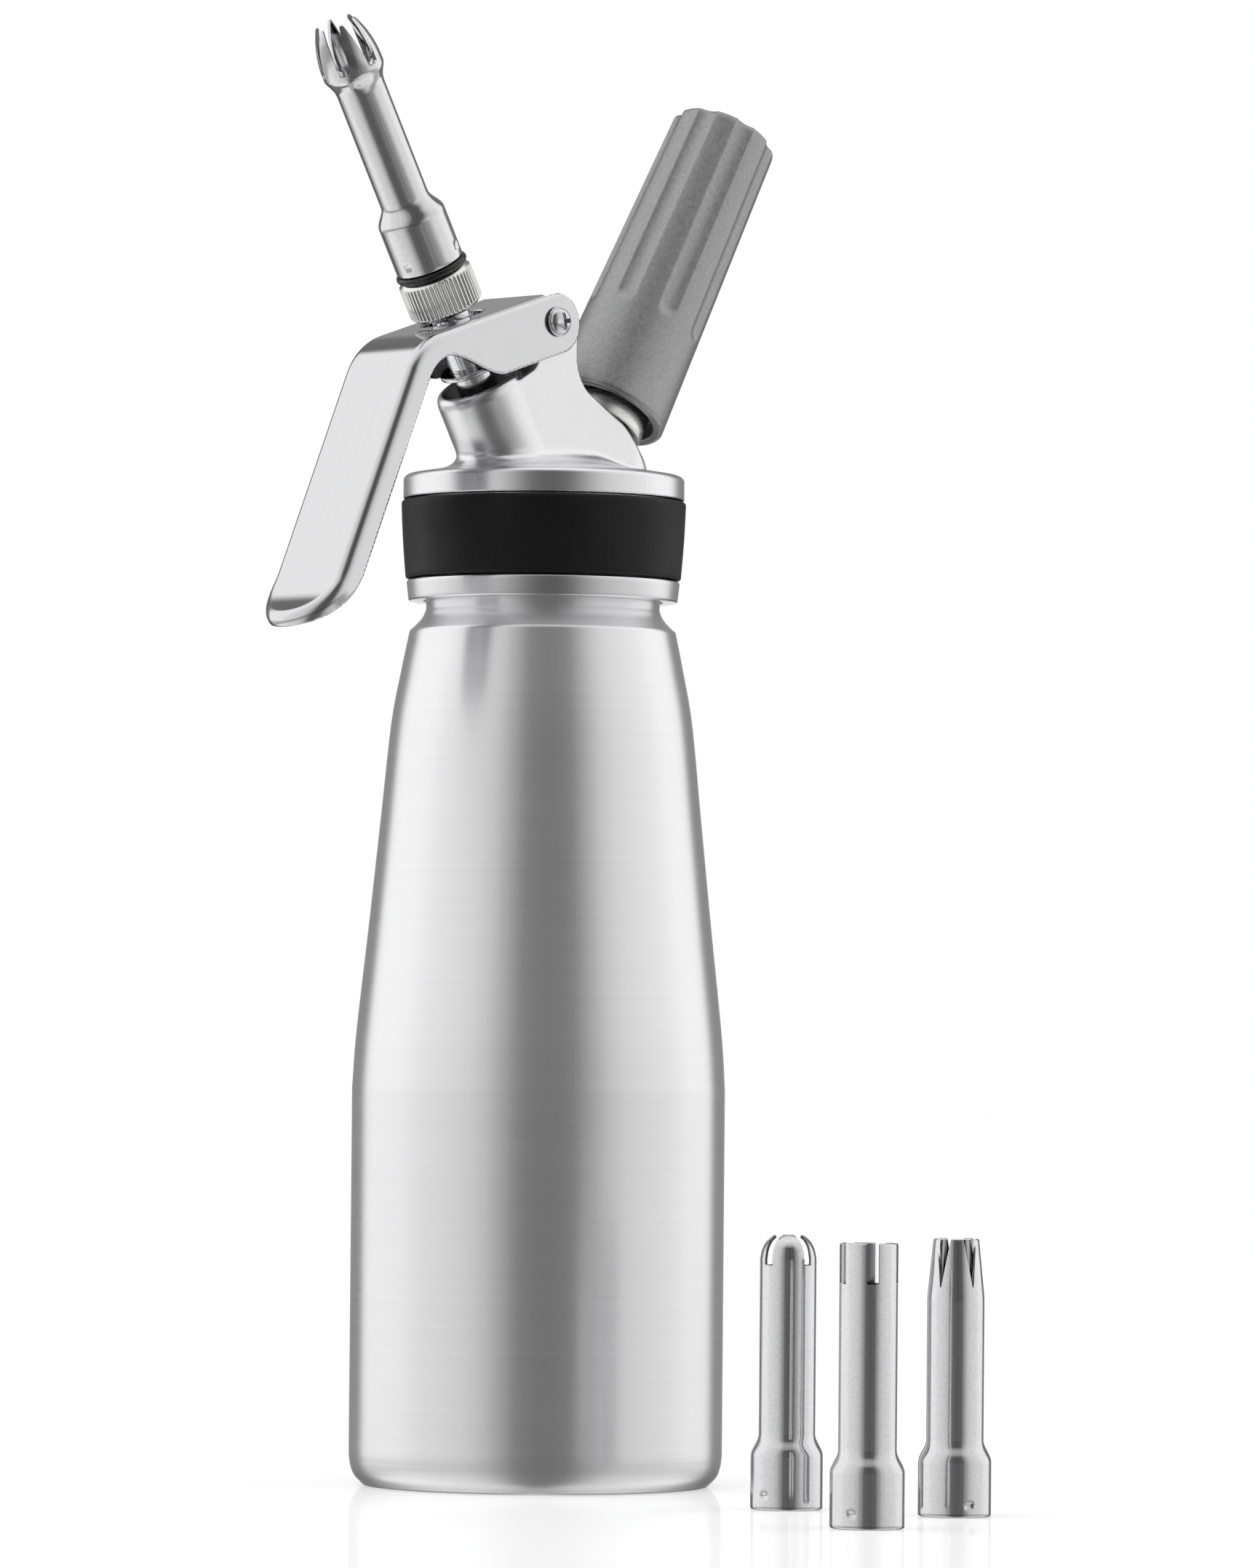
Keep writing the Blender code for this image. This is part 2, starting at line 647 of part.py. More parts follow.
def make_head_body():
    ring_top = COLLAR_BOTTOM + COLLAR_RING_HEIGHT
    edge = COLLAR_EDGE_HEIGHT - COLLAR_EDGE_ROUND
    collar = [(0, DOME_HEIGHT), (DOME_RADIUS, DOME_HEIGHT)]
    corner = (COLLAR_TOP_RADIUS - COLLAR_EDGE_ROUND, edge)
    collar += arc(corner, COLLAR_EDGE_ROUND, math.pi / 2, 0)
    collar += [
        (COLLAR_TOP_RADIUS, BAND_TOP),
        (BAND_SEAT_RADIUS, BAND_TOP),
        (BAND_SEAT_RADIUS, ring_top),
        (COLLAR_RING_RADIUS, ring_top),
        (COLLAR_BOTTOM_RADIUS, COLLAR_BOTTOM),
        (COLLAR_BORE_RADIUS, COLLAR_BOTTOM),
        (COLLAR_BORE_RADIUS, COLLAR_CEILING),
        (0, COLLAR_CEILING),
    ]
    head = turned("head_body", collar, head_frame, parts, "blasted_aluminium")
    boolean(head, make_body_block(), "UNION", "MANIFOLD")
    lip = [(0, SPOUT_HEIGHT)]
    lip_corner = (BODY_HALF_WIDTH - SPOUT_LIP_ROUND, SPOUT_HEIGHT - SPOUT_LIP_ROUND)
    lip += arc(lip_corner, SPOUT_LIP_ROUND, math.pi / 2, 0)
    lip += [(BODY_HALF_WIDTH, VALVE_CHANNEL_TOP), (0, VALVE_CHANNEL_TOP)]
    boolean(head, turned("spout_lip", lip, head_valve_frame, cutters), "UNION", "MANIFOLD")
    mouth = SPOUT_HEIGHT - SPOUT_LIP_ROUND - JOIN_DEPTH
    valve_bore = [
        (0, SPOUT_HEIGHT + OVERRUN),
        (SPOUT_MOUTH_RADIUS, SPOUT_HEIGHT + OVERRUN),
        (SPOUT_MOUTH_RADIUS, mouth),
        (SPOUT_BORE_RADIUS, mouth - JOIN_DEPTH),
        (SPOUT_BORE_RADIUS, VALVE_CHANNEL_TOP),
        (VALVE_CHANNEL_RADIUS, VALVE_CHANNEL_TOP),
        (VALVE_CHANNEL_RADIUS, VALVE_SEAT),
        (VALVE_SEAT_BORE_RADIUS, VALVE_SEAT),
        (VALVE_SEAT_BORE_RADIUS, 0),
        (0, 0),
    ]
    cut(head, turned("valve_bore", valve_bore, head_valve_frame, cutters))
    port_bore_radius = PORT_SHANK_RADIUS + SEAT_GAP
    port_bore_bottom = PORT_SHANK_BOTTOM - SEAT_GAP
    charger_bore = [
        (0, SHOULDER_PLANE + OVERRUN),
        (port_bore_radius, SHOULDER_PLANE + OVERRUN),
        (port_bore_radius, port_bore_bottom),
        (CHECK_SEAT_RADIUS, port_bore_bottom),
        (CHECK_SEAT_RADIUS, CHECK_SEAT_BOTTOM),
        (GAS_PASSAGE_RADIUS, CHECK_SEAT_BOTTOM),
        (GAS_PASSAGE_RADIUS, 0),
        (0, 0),
    ]
    cut(head, turned("charger_bore", charger_bore, charger_frame, cutters, steps=SMALL_ROUND_STEPS))
    pivot_hole = cylinder_along_y(
        "pivot_hole", PIVOT_RADIUS + SEAT_GAP, BODY_HALF_WIDTH + OVERRUN, pivot_place, cutters
    )
    cut(head, pivot_hole)


def make_grip_band():
    bottom = COLLAR_BOTTOM + COLLAR_RING_HEIGHT + SEAT_GAP
    top = BAND_TOP - SEAT_GAP
    inner = BAND_SEAT_RADIUS + SEAT_GAP
    profile = [
        (inner + BAND_THICKNESS_TOP, top),
        (inner + BAND_THICKNESS_BOTTOM, bottom),
        (inner, bottom),
        (inner, top),
    ]
    turned("grip_band", profile, head_frame, parts, "black_grip", closed=True)


def make_valve():
    foot_top = STEM_FOOT_BOTTOM + STEM_FOOT_THICKNESS
    bore_floor = foot_top + SEAT_GAP
    profile = [
        (STEM_BORE_RADIUS, STEM_TOP),
        (STEM_RADIUS, STEM_TOP),
        (STEM_RADIUS, foot_top),
        (STEM_FOOT_RADIUS, foot_top),
        (STEM_FOOT_RADIUS, STEM_FOOT_BOTTOM),
        (0, STEM_FOOT_BOTTOM),
    ]
    bore = [(0, bore_floor), (STEM_BORE_RADIUS, bore_floor)]
    stem = turned(
        "valve_stem", bore + profile, valve_frame, parts, "polished_steel", SMALL_ROUND_STEPS
    )
    for i in range(2):
        port = disc(
            f"stem_port_{i + 1}",
            STEM_PORT_RADIUS,
            -STEM_RADIUS - OVERRUN,
            STEM_RADIUS + OVERRUN,
            valve_frame,
            cutters,
            steps=SMALL_ROUND_STEPS,
        )
        port.location = (0, 0, STEM_PORT_HEIGHT)
        port.rotation_euler = (math.radians(90), 0, math.radians(90) * i)
        boolean(stem, port)
    inner = STEM_RADIUS + SEAT_GAP
    ring(
        "valve_gasket",
        inner,
        STEM_FOOT_RADIUS - SEAT_GAP,
        foot_top + SEAT_GAP,
        VALVE_SEAT - SEAT_GAP,
        valve_frame,
        parts,
        "black_seal",
        SMALL_ROUND_STEPS,
    )
    ring(
        "stem_washer",
        inner,
        WASHER_RADIUS,
        WASHER_BOTTOM,
        WASHER_BOTTOM + WASHER_THICKNESS,
        valve_frame,
        parts,
        "polished_steel",
    )
    ring(
        "thrust_collar",
        inner,
        THRUST_COLLAR_RADIUS,
        THRUST_COLLAR_BOTTOM,
        THRUST_COLLAR_TOP,
        valve_frame,
        parts,
        "polished_steel",
        SMALL_ROUND_STEPS,
    )
    ring(
        "spring_retainer",
        inner,
        RETAINER_RADIUS,
        SPRING_TOP + SEAT_GAP,
        SPRING_TOP + SEAT_GAP + RETAINER_THICKNESS,
        valve_frame,
        parts,
        "polished_steel",
        SMALL_ROUND_STEPS,
    )


def make_gland_and_spring():
    gland_bottom = VALVE_CHANNEL_TOP + SEAT_GAP
    gland_top = gland_bottom + GLAND_HEIGHT
    ring(
        "gland_seal",
        STEM_RADIUS + SEAT_GAP,
        SPOUT_BORE_RADIUS - SEAT_GAP,
        gland_bottom,
        gland_top,
        head_valve_frame,
        parts,
        "black_seal",
        SMALL_ROUND_STEPS,
    )
    start = gland_top + SEAT_GAP + SPRING_WIRE / 2
    end = SPRING_TOP - SPRING_WIRE / 2
    radius = (STEM_RADIUS + SPOUT_BORE_RADIUS) / 2
    curve = bpy.data.curves.new("valve_spring", "CURVE")
    curve.dimensions = "3D"
    curve.bevel_depth = SPRING_WIRE / 2
    curve.bevel_resolution = 1
    curve.use_fill_caps = True
    spline = curve.splines.new("POLY")
    per_turn = 2 * ARC_STEPS
    count = SPRING_TURNS * per_turn
    spline.points.add(count)
    for i, point in enumerate(spline.points):
        turn = 2 * math.pi * i / per_turn
        height = start + (end - start) * i / count
        point.co = (radius * math.cos(turn), radius * math.sin(turn), height, 1)
    spring = bpy.data.objects.new("valve_spring", curve)
    place(spring, head_valve_frame, parts)
    place(baked(spring, parts), head_valve_frame, parts, "spring_steel")


def make_adapter():
    outline = []
    for i in range(ADAPTER_RIBS):
        for half, radius in enumerate((ADAPTER_RADIUS - ADAPTER_RIB_DEPTH, ADAPTER_RADIUS)):
            turn = 2 * math.pi * (i + half / 2) / ADAPTER_RIBS
            outline.append((radius * math.cos(turn), radius * math.sin(turn)))
    adapter = column(
        "knurled_adapter",
        outline,
        ADAPTER_BOTTOM,
        ADAPTER_TOP,
        adapter_frame,
        parts,
        "ribbed_nickel",
    )
    chamfered = [
        (0, ADAPTER_TOP + OVERRUN),
        (ADAPTER_RADIUS - ADAPTER_CHAMFER - OVERRUN, ADAPTER_TOP + OVERRUN),
        (ADAPTER_RADIUS + SEAT_GAP, ADAPTER_TOP - ADAPTER_CHAMFER - SEAT_GAP),
        (ADAPTER_RADIUS + SEAT_GAP, ADAPTER_BOTTOM + ADAPTER_CHAMFER + SEAT_GAP),
        (ADAPTER_RADIUS - ADAPTER_CHAMFER - OVERRUN, ADAPTER_BOTTOM - OVERRUN),
        (0, ADAPTER_BOTTOM - OVERRUN),
    ]
    boolean(adapter, turned("adapter_chamfers", chamfered, adapter_frame, cutters), "INTERSECT")
    boss = disc(
        "adapter_boss",
        BOSS_RADIUS,
        ADAPTER_TOP - JOIN_DEPTH,
        ADAPTER_TOP + ADAPTER_BOSS_HEIGHT,
        adapter_frame,
        cutters,
    )
    boolean(adapter, boss, "UNION")
    socket_top = STEM_TOP + SEAT_GAP
    bore = [
        (0, ADAPTER_TOP + ADAPTER_BOSS_HEIGHT + OVERRUN),
        (STEM_BORE_RADIUS, ADAPTER_TOP + ADAPTER_BOSS_HEIGHT + OVERRUN),
        (STEM_BORE_RADIUS, socket_top),
        (STEM_RADIUS + SEAT_GAP, socket_top),
        (STEM_RADIUS + SEAT_GAP, ADAPTER_BOTTOM - OVERRUN),
        (0, ADAPTER_BOTTOM - OVERRUN),
    ]
    boolean(adapter, turned("adapter_bore", bore, adapter_frame, cutters, steps=SMALL_ROUND_STEPS))
    o_ring(
        "adapter_o_ring",
        BOSS_RADIUS + SEAT_GAP + RING_SECTION / 2,
        RING_SECTION,
        RING_CENTRE,
        ring_frame,
        parts,
        "black_seal",
        SMALL_ROUND_STEPS,
    )


def tip_shell(name, outside, frame):
    """A thin pressed tube. The outside's (radius, height) points run from the foot to the mouth."""
    profile = outside[::-1] + inward(outside, TIP_WALL)
    return turned(name, profile, frame, parts, "polished_steel", SMALL_ROUND_STEPS, closed=True)


def tip_foot(tube_radius):
    """Skirt and shoulder of a tip, from its foot up to the tube."""
    skirt = (TIP_SKIRT_RADIUS, TIP_SKIRT_HEIGHT)
    tube = (tube_radius, TIP_SKIRT_HEIGHT + TIP_SHOULDER_HEIGHT)
    return [(TIP_SKIRT_RADIUS, 0)] + shared(TIP_SHOULDER_SHARES, skirt, tube)


def slotted(tip, count, outline, turn=0.0):
    width = 2 * max(across for across, height in outline)
    near = width / 2 / math.tan(math.pi / count) + SEAT_GAP
    cut = radial_cutters(count, outline, near, TIP_SKIRT_RADIUS + OVERRUN, turn)
    boolean(tip, place(object_from_bmesh(f"{tip.name}_slots", cut), tip.parent, cutters))


def make_tulip_tip():
    crown_height = TIP_HEIGHT - TULIP_PRONG_LENGTH
    tube_top = (TULIP_TUBE_RADIUS, crown_height - TULIP_CROWN_LENGTH)
    crown = (TULIP_CROWN_RADIUS, crown_height)
    mouth = (TULIP_MOUTH_RADIUS, TIP_HEIGHT)
    outside = tip_foot(TULIP_TUBE_RADIUS) + shared(TULIP_CROWN_SHARES, tube_top, crown)
    outside += shared(TULIP_PRONG_SHARES, crown, mouth)[1:]
    tip = tip_shell("tulip_tip", outside, tulip_frame)
    outline = [
        (-TULIP_SLOT_FOOT_WIDTH / 2, crown_height + JOIN_DEPTH),
        (TULIP_SLOT_FOOT_WIDTH / 2, crown_height + JOIN_DEPTH),
        (TULIP_SLOT_TOP_WIDTH / 2, TIP_HEIGHT + OVERRUN),
        (-TULIP_SLOT_TOP_WIDTH / 2, TIP_HEIGHT + OVERRUN),
    ]
    slotted(tip, TULIP_PRONGS, outline, math.pi / TULIP_PRONGS)


def square_slot(width, depth):
    top = SPARE_HEIGHT + OVERRUN
    foot = SPARE_HEIGHT - depth
    return [(-width / 2, foot), (width / 2, foot), (width / 2, top), (-width / 2, top)]


def make_spare_tips():
    tube = tip_foot(SPARE_TUBE_RADIUS)
    dome_foot = (SPARE_TUBE_RADIUS, SPARE_HEIGHT - ROUND_TIP_DOME_HEIGHT)
    dome = shared(DOME_SHARES, dome_foot, (ROUND_TIP_MOUTH_RADIUS, SPARE_HEIGHT))
    tip = tip_shell("spare_tip_round", tube + dome, round_tip_frame)
    slotted(tip, ROUND_TIP_SLOTS, square_slot(ROUND_TIP_SLOT_WIDTH, ROUND_TIP_SLOT_DEPTH))
    straight_end = [(SPARE_TUBE_RADIUS, SPARE_HEIGHT)]
    tip = tip_shell("spare_tip_straight", tube + straight_end, straight_tip_frame)
    slotted(tip, STRAIGHT_TIP_SLOTS, square_slot(STRAIGHT_TIP_SLOT_WIDTH, STRAIGHT_TIP_SLOT_DEPTH))
    taper = [
        (SPARE_TUBE_RADIUS, SPARE_HEIGHT - STAR_TIP_TAPER_HEIGHT),
        (STAR_TIP_MOUTH_RADIUS, SPARE_HEIGHT),
    ]
    tip = tip_shell("spare_tip_star", tube + taper, star_tip_frame)
    notch = [
        (0, SPARE_HEIGHT - STAR_TIP_SLOT_DEPTH),
        (STAR_TIP_SLOT_WIDTH / 2, SPARE_HEIGHT + SEAT_GAP),
        (-STAR_TIP_SLOT_WIDTH / 2, SPARE_HEIGHT + SEAT_GAP),
    ]
    slotted(tip, STAR_TIP_SLOTS, notch)


def web_point(along, above):
    """A point of the lever's side view, measured from the pivot along the web and square to it."""
    return (
        -along * math.cos(WEB_SLOPE) - above * math.sin(WEB_SLOPE),
        -along * math.sin(WEB_SLOPE) + above * math.cos(WEB_SLOPE),
    )


def lever_stations():
    """Outer line of the lever: (point, direction angle, distance run) from the pivot to the tip."""
    heading = math.pi + WEB_SLOPE
    handle = 3 * math.pi / 2 - HANDLE_LEAN
    tangent = BEND_RADIUS * math.tan((handle - heading) / 2)
    fine = ARCH_END / LEVER_ARCH_STEPS
    plan = [(WEB_CORNER - tangent, 0, round((WEB_CORNER - tangent) / fine))]
    plan.append((BEND_RADIUS * (handle - heading), handle - heading, 2 * ARC_STEPS))
    plan.append((HANDLE_STRAIGHT - tangent, 0, 2))
    plan.append((FLARE_RADIUS * FLARE_ANGLE, -FLARE_ANGLE, 2 * ARC_STEPS))
    x, z = web_point(0, WEB_ABOVE_PIVOT)
    run = 0
    stations = [((x, z), heading, run)]
    for length, turn, steps in plan:
        for _ in range(steps):
            step = length / steps
            heading += turn / steps / 2
            chord = step
            if turn:
                chord = step * math.sin(turn / steps / 2) / (turn / steps / 2)
            x += chord * math.cos(heading)
            z += chord * math.sin(heading)
            heading += turn / steps / 2
            run += step
            stations.append(((x, z), heading, run))
    return stations


def lever_depth(run, end):
    """Depth of the cheeks below the lever's outer line."""
    deep = WEB_ABOVE_PIVOT + CHEEK_BELOW_PIVOT
    share = min(max((run - ARCH_START) / (ARCH_END - ARCH_START), 0), 1)
    eased = share**2 * (3 - 2 * share)
    depth = deep + (HANDLE_DEPTH - deep) * eased
    flare = FLARE_RADIUS * FLARE_ANGLE
    share = min(max((run - (end - flare)) / flare, 0), 1)
    return depth + (FLARE_DEPTH - HANDLE_DEPTH) * share


def below(station, depth):
    """The point this far below the lever's outer line."""
    (x, z), heading, run = station
    return (x - depth * math.sin(heading), z + depth * math.cos(heading))


def lever_section(station, depth):
    """Section of the lever, square to its outer line, with the two outer edges rounded."""
    inner = LEVER_HALF_WIDTH - LEVER_EDGE_ROUND
    left = arc((-inner, LEVER_EDGE_ROUND), LEVER_EDGE_ROUND, math.pi, 3 * math.pi / 2)
    right = arc((inner, LEVER_EDGE_ROUND), LEVER_EDGE_ROUND, -math.pi / 2, 0)
    across = [(-LEVER_HALF_WIDTH, depth)] + left + right + [(LEVER_HALF_WIDTH, depth)]
    section = []
    for y, down in across:
        x, z = below(station, down)
        section.append((x, y, z))
    return section


def tip_round(name, stations, radius, frame):
    """What to cut away for a half-round end: its centre is a half width before the tip."""
    end = stations[-1]
    centre = [s for s in stations if s[2] <= end[2] - LEVER_HALF_WIDTH - SEAT_GAP][-1]
    heading = math.atan2(end[0][1] - centre[0][1], end[0][0] - centre[0][0])
    reach = LEVER_HALF_WIDTH + OVERRUN
    outline = [(0, -reach), (reach, -reach), (reach, reach), (0, reach)]
    outline += arc((0, 0), radius, math.pi / 2, -math.pi / 2, 4 * ARC_STEPS)
    tip_frame = add_frame(f"{name}_frame", (centre[0][0], 0, centre[0][1]), -heading, frame)
    return column(name, outline, -reach, reach, tip_frame, cutters)


def make_lever():
    stations = lever_stations()
    end = stations[-1][2]
    half_height = (WEB_ABOVE_PIVOT + CHEEK_BELOW_PIVOT) / 2
    middle = (WEB_ABOVE_PIVOT - CHEEK_BELOW_PIVOT) / 2
    beyond = half_height + OVERRUN
    (x, z), heading, run = stations[0]
    back = half_height + JOIN_DEPTH
    first = ((x - back * math.cos(heading), z - back * math.sin(heading)), heading, -back)
    shape = bmesh.new()
    rings = [
        [shape.verts.new(point) for point in lever_section(s, lever_depth(s[2], end))]
        for s in [first] + stations
    ]
    for lower, upper in zip(rings, rings[1:]):
        for j in range(len(lower)):
            k = (j + 1) % len(lower)
            shape.faces.new((lower[j], lower[k], upper[k], upper[j]))
    shape.faces.new(list(reversed(rings[0])))
    shape.faces.new(rings[-1])
    lever = place(object_from_bmesh("lever", shape), lever_frame, parts, "polished_steel")
    smooth(lever)

    round_end = [
        web_point(-half_height * math.cos(turn), middle + half_height * math.sin(turn))
        for turn in (math.pi * (i / (2 * ARC_STEPS) - 0.5) for i in range(2 * ARC_STEPS + 1))
    ]
    round_end += [
        web_point(0, middle + beyond),
        web_point(-beyond, middle + beyond),
        web_point(-beyond, middle - beyond),
        web_point(0, middle - beyond),
    ]
    width = LEVER_HALF_WIDTH + OVERRUN
    cut(lever, plate("lever_end", round_end, width, lever_frame, cutters))
    cut(lever, tip_round("lever_tip", stations, LEVER_HALF_WIDTH, lever_frame))

    top = WEB_ABOVE_PIVOT + OVERRUN
    inner_foot = below(first, 2 * beyond)
    pocket_line = [
        web_point(-2 * beyond, top),
        web_point(WEB_START, top),
        web_point(WEB_START, WEB_ABOVE_PIVOT - LEVER_WEB),
    ]
    pocket_line += [below(s, LEVER_WEB) for s in stations if s[2] > WEB_START + LEVER_WEB]
    pocket_line += [below(s, lever_depth(s[2], end) + OVERRUN) for s in reversed(stations)]
    pocket_line.append(inner_foot)
    inside = LEVER_HALF_WIDTH - LEVER_CHEEK
    pocket = plate("lever_pocket", pocket_line, inside, lever_frame, cutters)
    cut(pocket, tip_round("pocket_tip", stations, inside, lever_frame))
    cut(lever, pocket)

    web_axis = web_underside(0)
    slot_x = -web_axis * math.sin(AXIS_TILT) - PIVOT_X
    slot_z = AXES_CROSSING + web_axis * math.cos(AXIS_TILT) - PIVOT_Z
    slot_frame = add_frame("stem_slot_frame", (slot_x, 0, slot_z), -WEB_SLOPE, lever_frame)
    straight = STEM_SLOT_REACH - STEM_SLOT_HALF_WIDTH
    slot = arc((straight, 0), STEM_SLOT_HALF_WIDTH, -math.pi / 2, math.pi / 2, 2 * ARC_STEPS)
    slot += arc((-straight, 0), STEM_SLOT_HALF_WIDTH, math.pi / 2, 3 * math.pi / 2, 2 * ARC_STEPS)
    reach = LEVER_WEB + OVERRUN
    cut(lever, column("stem_slot", slot, -reach, reach, slot_frame, cutters))
    hole = cylinder_along_y(
        "lever_pivot_hole", PIVOT_RADIUS + SEAT_GAP, LEVER_HALF_WIDTH + OVERRUN, (0, 0, 0), cutters
    )
    cut(lever, place(hole, lever_frame, cutters))


def make_pivot():
    seat = LEVER_HALF_WIDTH + SEAT_GAP
    flange_top = seat + SCREW_FLANGE_HEIGHT
    head_top = flange_top + SCREW_HEAD_HEIGHT
    rounding = SCREW_HEAD_HEIGHT - SCREW_FLANGE_HEIGHT
    head = [(0, head_top)]
    head += arc((SCREW_HEAD_RADIUS - rounding, head_top - rounding), rounding, math.pi / 2, 0)
    head += [
        (SCREW_HEAD_RADIUS, flange_top),
        (SCREW_FLANGE_RADIUS, flange_top),
        (SCREW_FLANGE_RADIUS, seat),
        (PIVOT_RADIUS, seat),
        (PIVOT_RADIUS, -seat - NUT_HEIGHT),
        (0, -seat - NUT_HEIGHT),
    ]
    screw = turned("pivot_screw", head, pivot_frame, parts, "polished_steel", SMALL_ROUND_STEPS)
    screw.rotation_euler = (math.radians(90), 0, 0)
    half_width = SCREW_RECESS_WIDTH / 2
    half_length = SCREW_RECESS_LENGTH / 2
    cross = [(half_width, half_width), (half_width, half_length), (-half_width, half_length)]
    cross += [(-half_width, half_width), (-half_length, half_width), (-half_length, -half_width)]
    cross += [(-x, -y) for x, y in cross]
    bottom = head_top - SCREW_RECESS_DEPTH
    recess = column("screw_recess", cross, bottom, head_top + OVERRUN, pivot_frame, cutters)
    recess.rotation_euler = (math.radians(90), 0, 0)
    recess.location = (0, -(bottom + head_top + OVERRUN) / 2, 0)
    cut(screw, recess)
    nut_bore = PIVOT_RADIUS + SEAT_GAP
    hexagon = [
        (NUT_RADIUS * math.cos(math.pi * i / 3), NUT_RADIUS * math.sin(math.pi * i / 3))
        for i in range(6)
    ]
    nut = plate("pivot_nut", hexagon, NUT_HEIGHT / 2, pivot_frame, parts, "polished_steel")
    nut.location = (0, seat + NUT_HEIGHT / 2, 0)
    bore = cylinder_along_y("nut_bore", nut_bore, seat + 2 * NUT_HEIGHT, (0, 0, 0), cutters)
    boolean(nut, place(bore, pivot_frame, cutters))


def make_charger_port():
    seat = SHOULDER_PLANE + SEAT_GAP
    profile = [
        (PORT_RADIUS - PORT_CHAMFER, PORT_TOP),
        (PORT_RADIUS, PORT_TOP - PORT_CHAMFER),
        (PORT_RADIUS, seat),
        (PORT_SHANK_RADIUS, seat),
        (PORT_SHANK_RADIUS, PORT_SHANK_BOTTOM),
        (GAS_PASSAGE_RADIUS, PORT_SHANK_BOTTOM),
        (GAS_PASSAGE_RADIUS, PIN_SEAT_BOTTOM),
        (PIN_SEAT_RADIUS, PIN_SEAT_BOTTOM),
        (PIN_SEAT_RADIUS, PORT_THROAT_BOTTOM),
        (PORT_THROAT_RADIUS, PORT_THROAT_BOTTOM),
        (PORT_THROAT_RADIUS, PORT_TOP - PORT_LEAD_IN),
        (PORT_THROAT_RADIUS + PORT_LEAD_IN / 2, PORT_TOP),
    ]
    turned("charger_port", profile, charger_frame, parts, "polished_steel", closed=True)
    base = PIN_SEAT_BOTTOM + SEAT_GAP
    base_top = base + PIN_BASE_HEIGHT
    pin = [
        (PIN_HOLE_RADIUS + PIN_POINT_LAND, PIN_POINT),
        (PIN_NEEDLE_RADIUS, PIN_POINT - PIN_POINT_LENGTH),
        (PIN_NEEDLE_RADIUS, base_top),
        (PIN_SEAT_RADIUS - SEAT_GAP, base_top),
        (PIN_SEAT_RADIUS - SEAT_GAP, base),
        (PIN_HOLE_RADIUS, base),
        (PIN_HOLE_RADIUS, PIN_POINT),
    ]
    turned("piercing_pin", pin, charger_frame, parts, "polished_steel", SMALL_ROUND_STEPS, closed=True)
    gasket = PORT_THROAT_BOTTOM + SEAT_GAP
    ring(
        "port_gasket",
        PORT_GASKET_BORE_RADIUS,
        PORT_THROAT_RADIUS - SEAT_GAP,
        gasket,
        gasket + PORT_GASKET_HEIGHT,
        charger_frame,
        parts,
        "black_seal",
        SMALL_ROUND_STEPS,
    )
    ring(
        "check_valve",
        CHECK_BORE_RADIUS,
        CHECK_SEAT_RADIUS - SEAT_GAP,
        CHECK_SEAT_BOTTOM + SEAT_GAP,
        PORT_SHANK_BOTTOM - 2 * SEAT_GAP,
        charger_frame,
        parts,
        "black_seal",
        SMALL_ROUND_STEPS,
    )


def make_charger():
    neck_end = CHARGER_NECK_TIP + CHARGER_NECK_LENGTH
    body_start = (CHARGER_RADIUS, neck_end + CHARGER_SHOULDER_LENGTH)
    shoulder = shared(CHARGER_SHOULDER_SHARES, (CHARGER_NECK_RADIUS, neck_end), body_start)
    flat = CHARGER_RADIUS * CHARGER_END_SHARE
    end_corner = (CHARGER_RADIUS - flat, CHARGER_END - flat)
    end = arc(end_corner, flat, 0, math.pi / 2)
    outside = [(CHARGER_NECK_RADIUS, CHARGER_NECK_TIP)] + shoulder + end
    inside = inward(outside, CHARGER_WALL)
    inside[0] = (CHARGER_HOLE_RADIUS, CHARGER_NECK_TIP)
    neck_bore = CHARGER_NECK_RADIUS - CHARGER_WALL
    profile = [(0, CHARGER_END)] + outside[::-1] + [inside[0]]
    profile += [
        (CHARGER_HOLE_RADIUS, CHARGER_NECK_TIP + CHARGER_WALL),
        (neck_bore, CHARGER_NECK_TIP + CHARGER_WALL),
    ]
    profile += inside[1:] + [(0, CHARGER_END - CHARGER_WALL)]
    turned("charger", profile, cartridge_frame, parts, "charger_steel", SMALL_ROUND_STEPS)


def holder_radius(distance):
    share = (distance - HOLDER_BOTTOM) / HOLDER_LENGTH
    return HOLDER_MOUTH_RADIUS + (HOLDER_END_RADIUS - HOLDER_MOUTH_RADIUS) * share


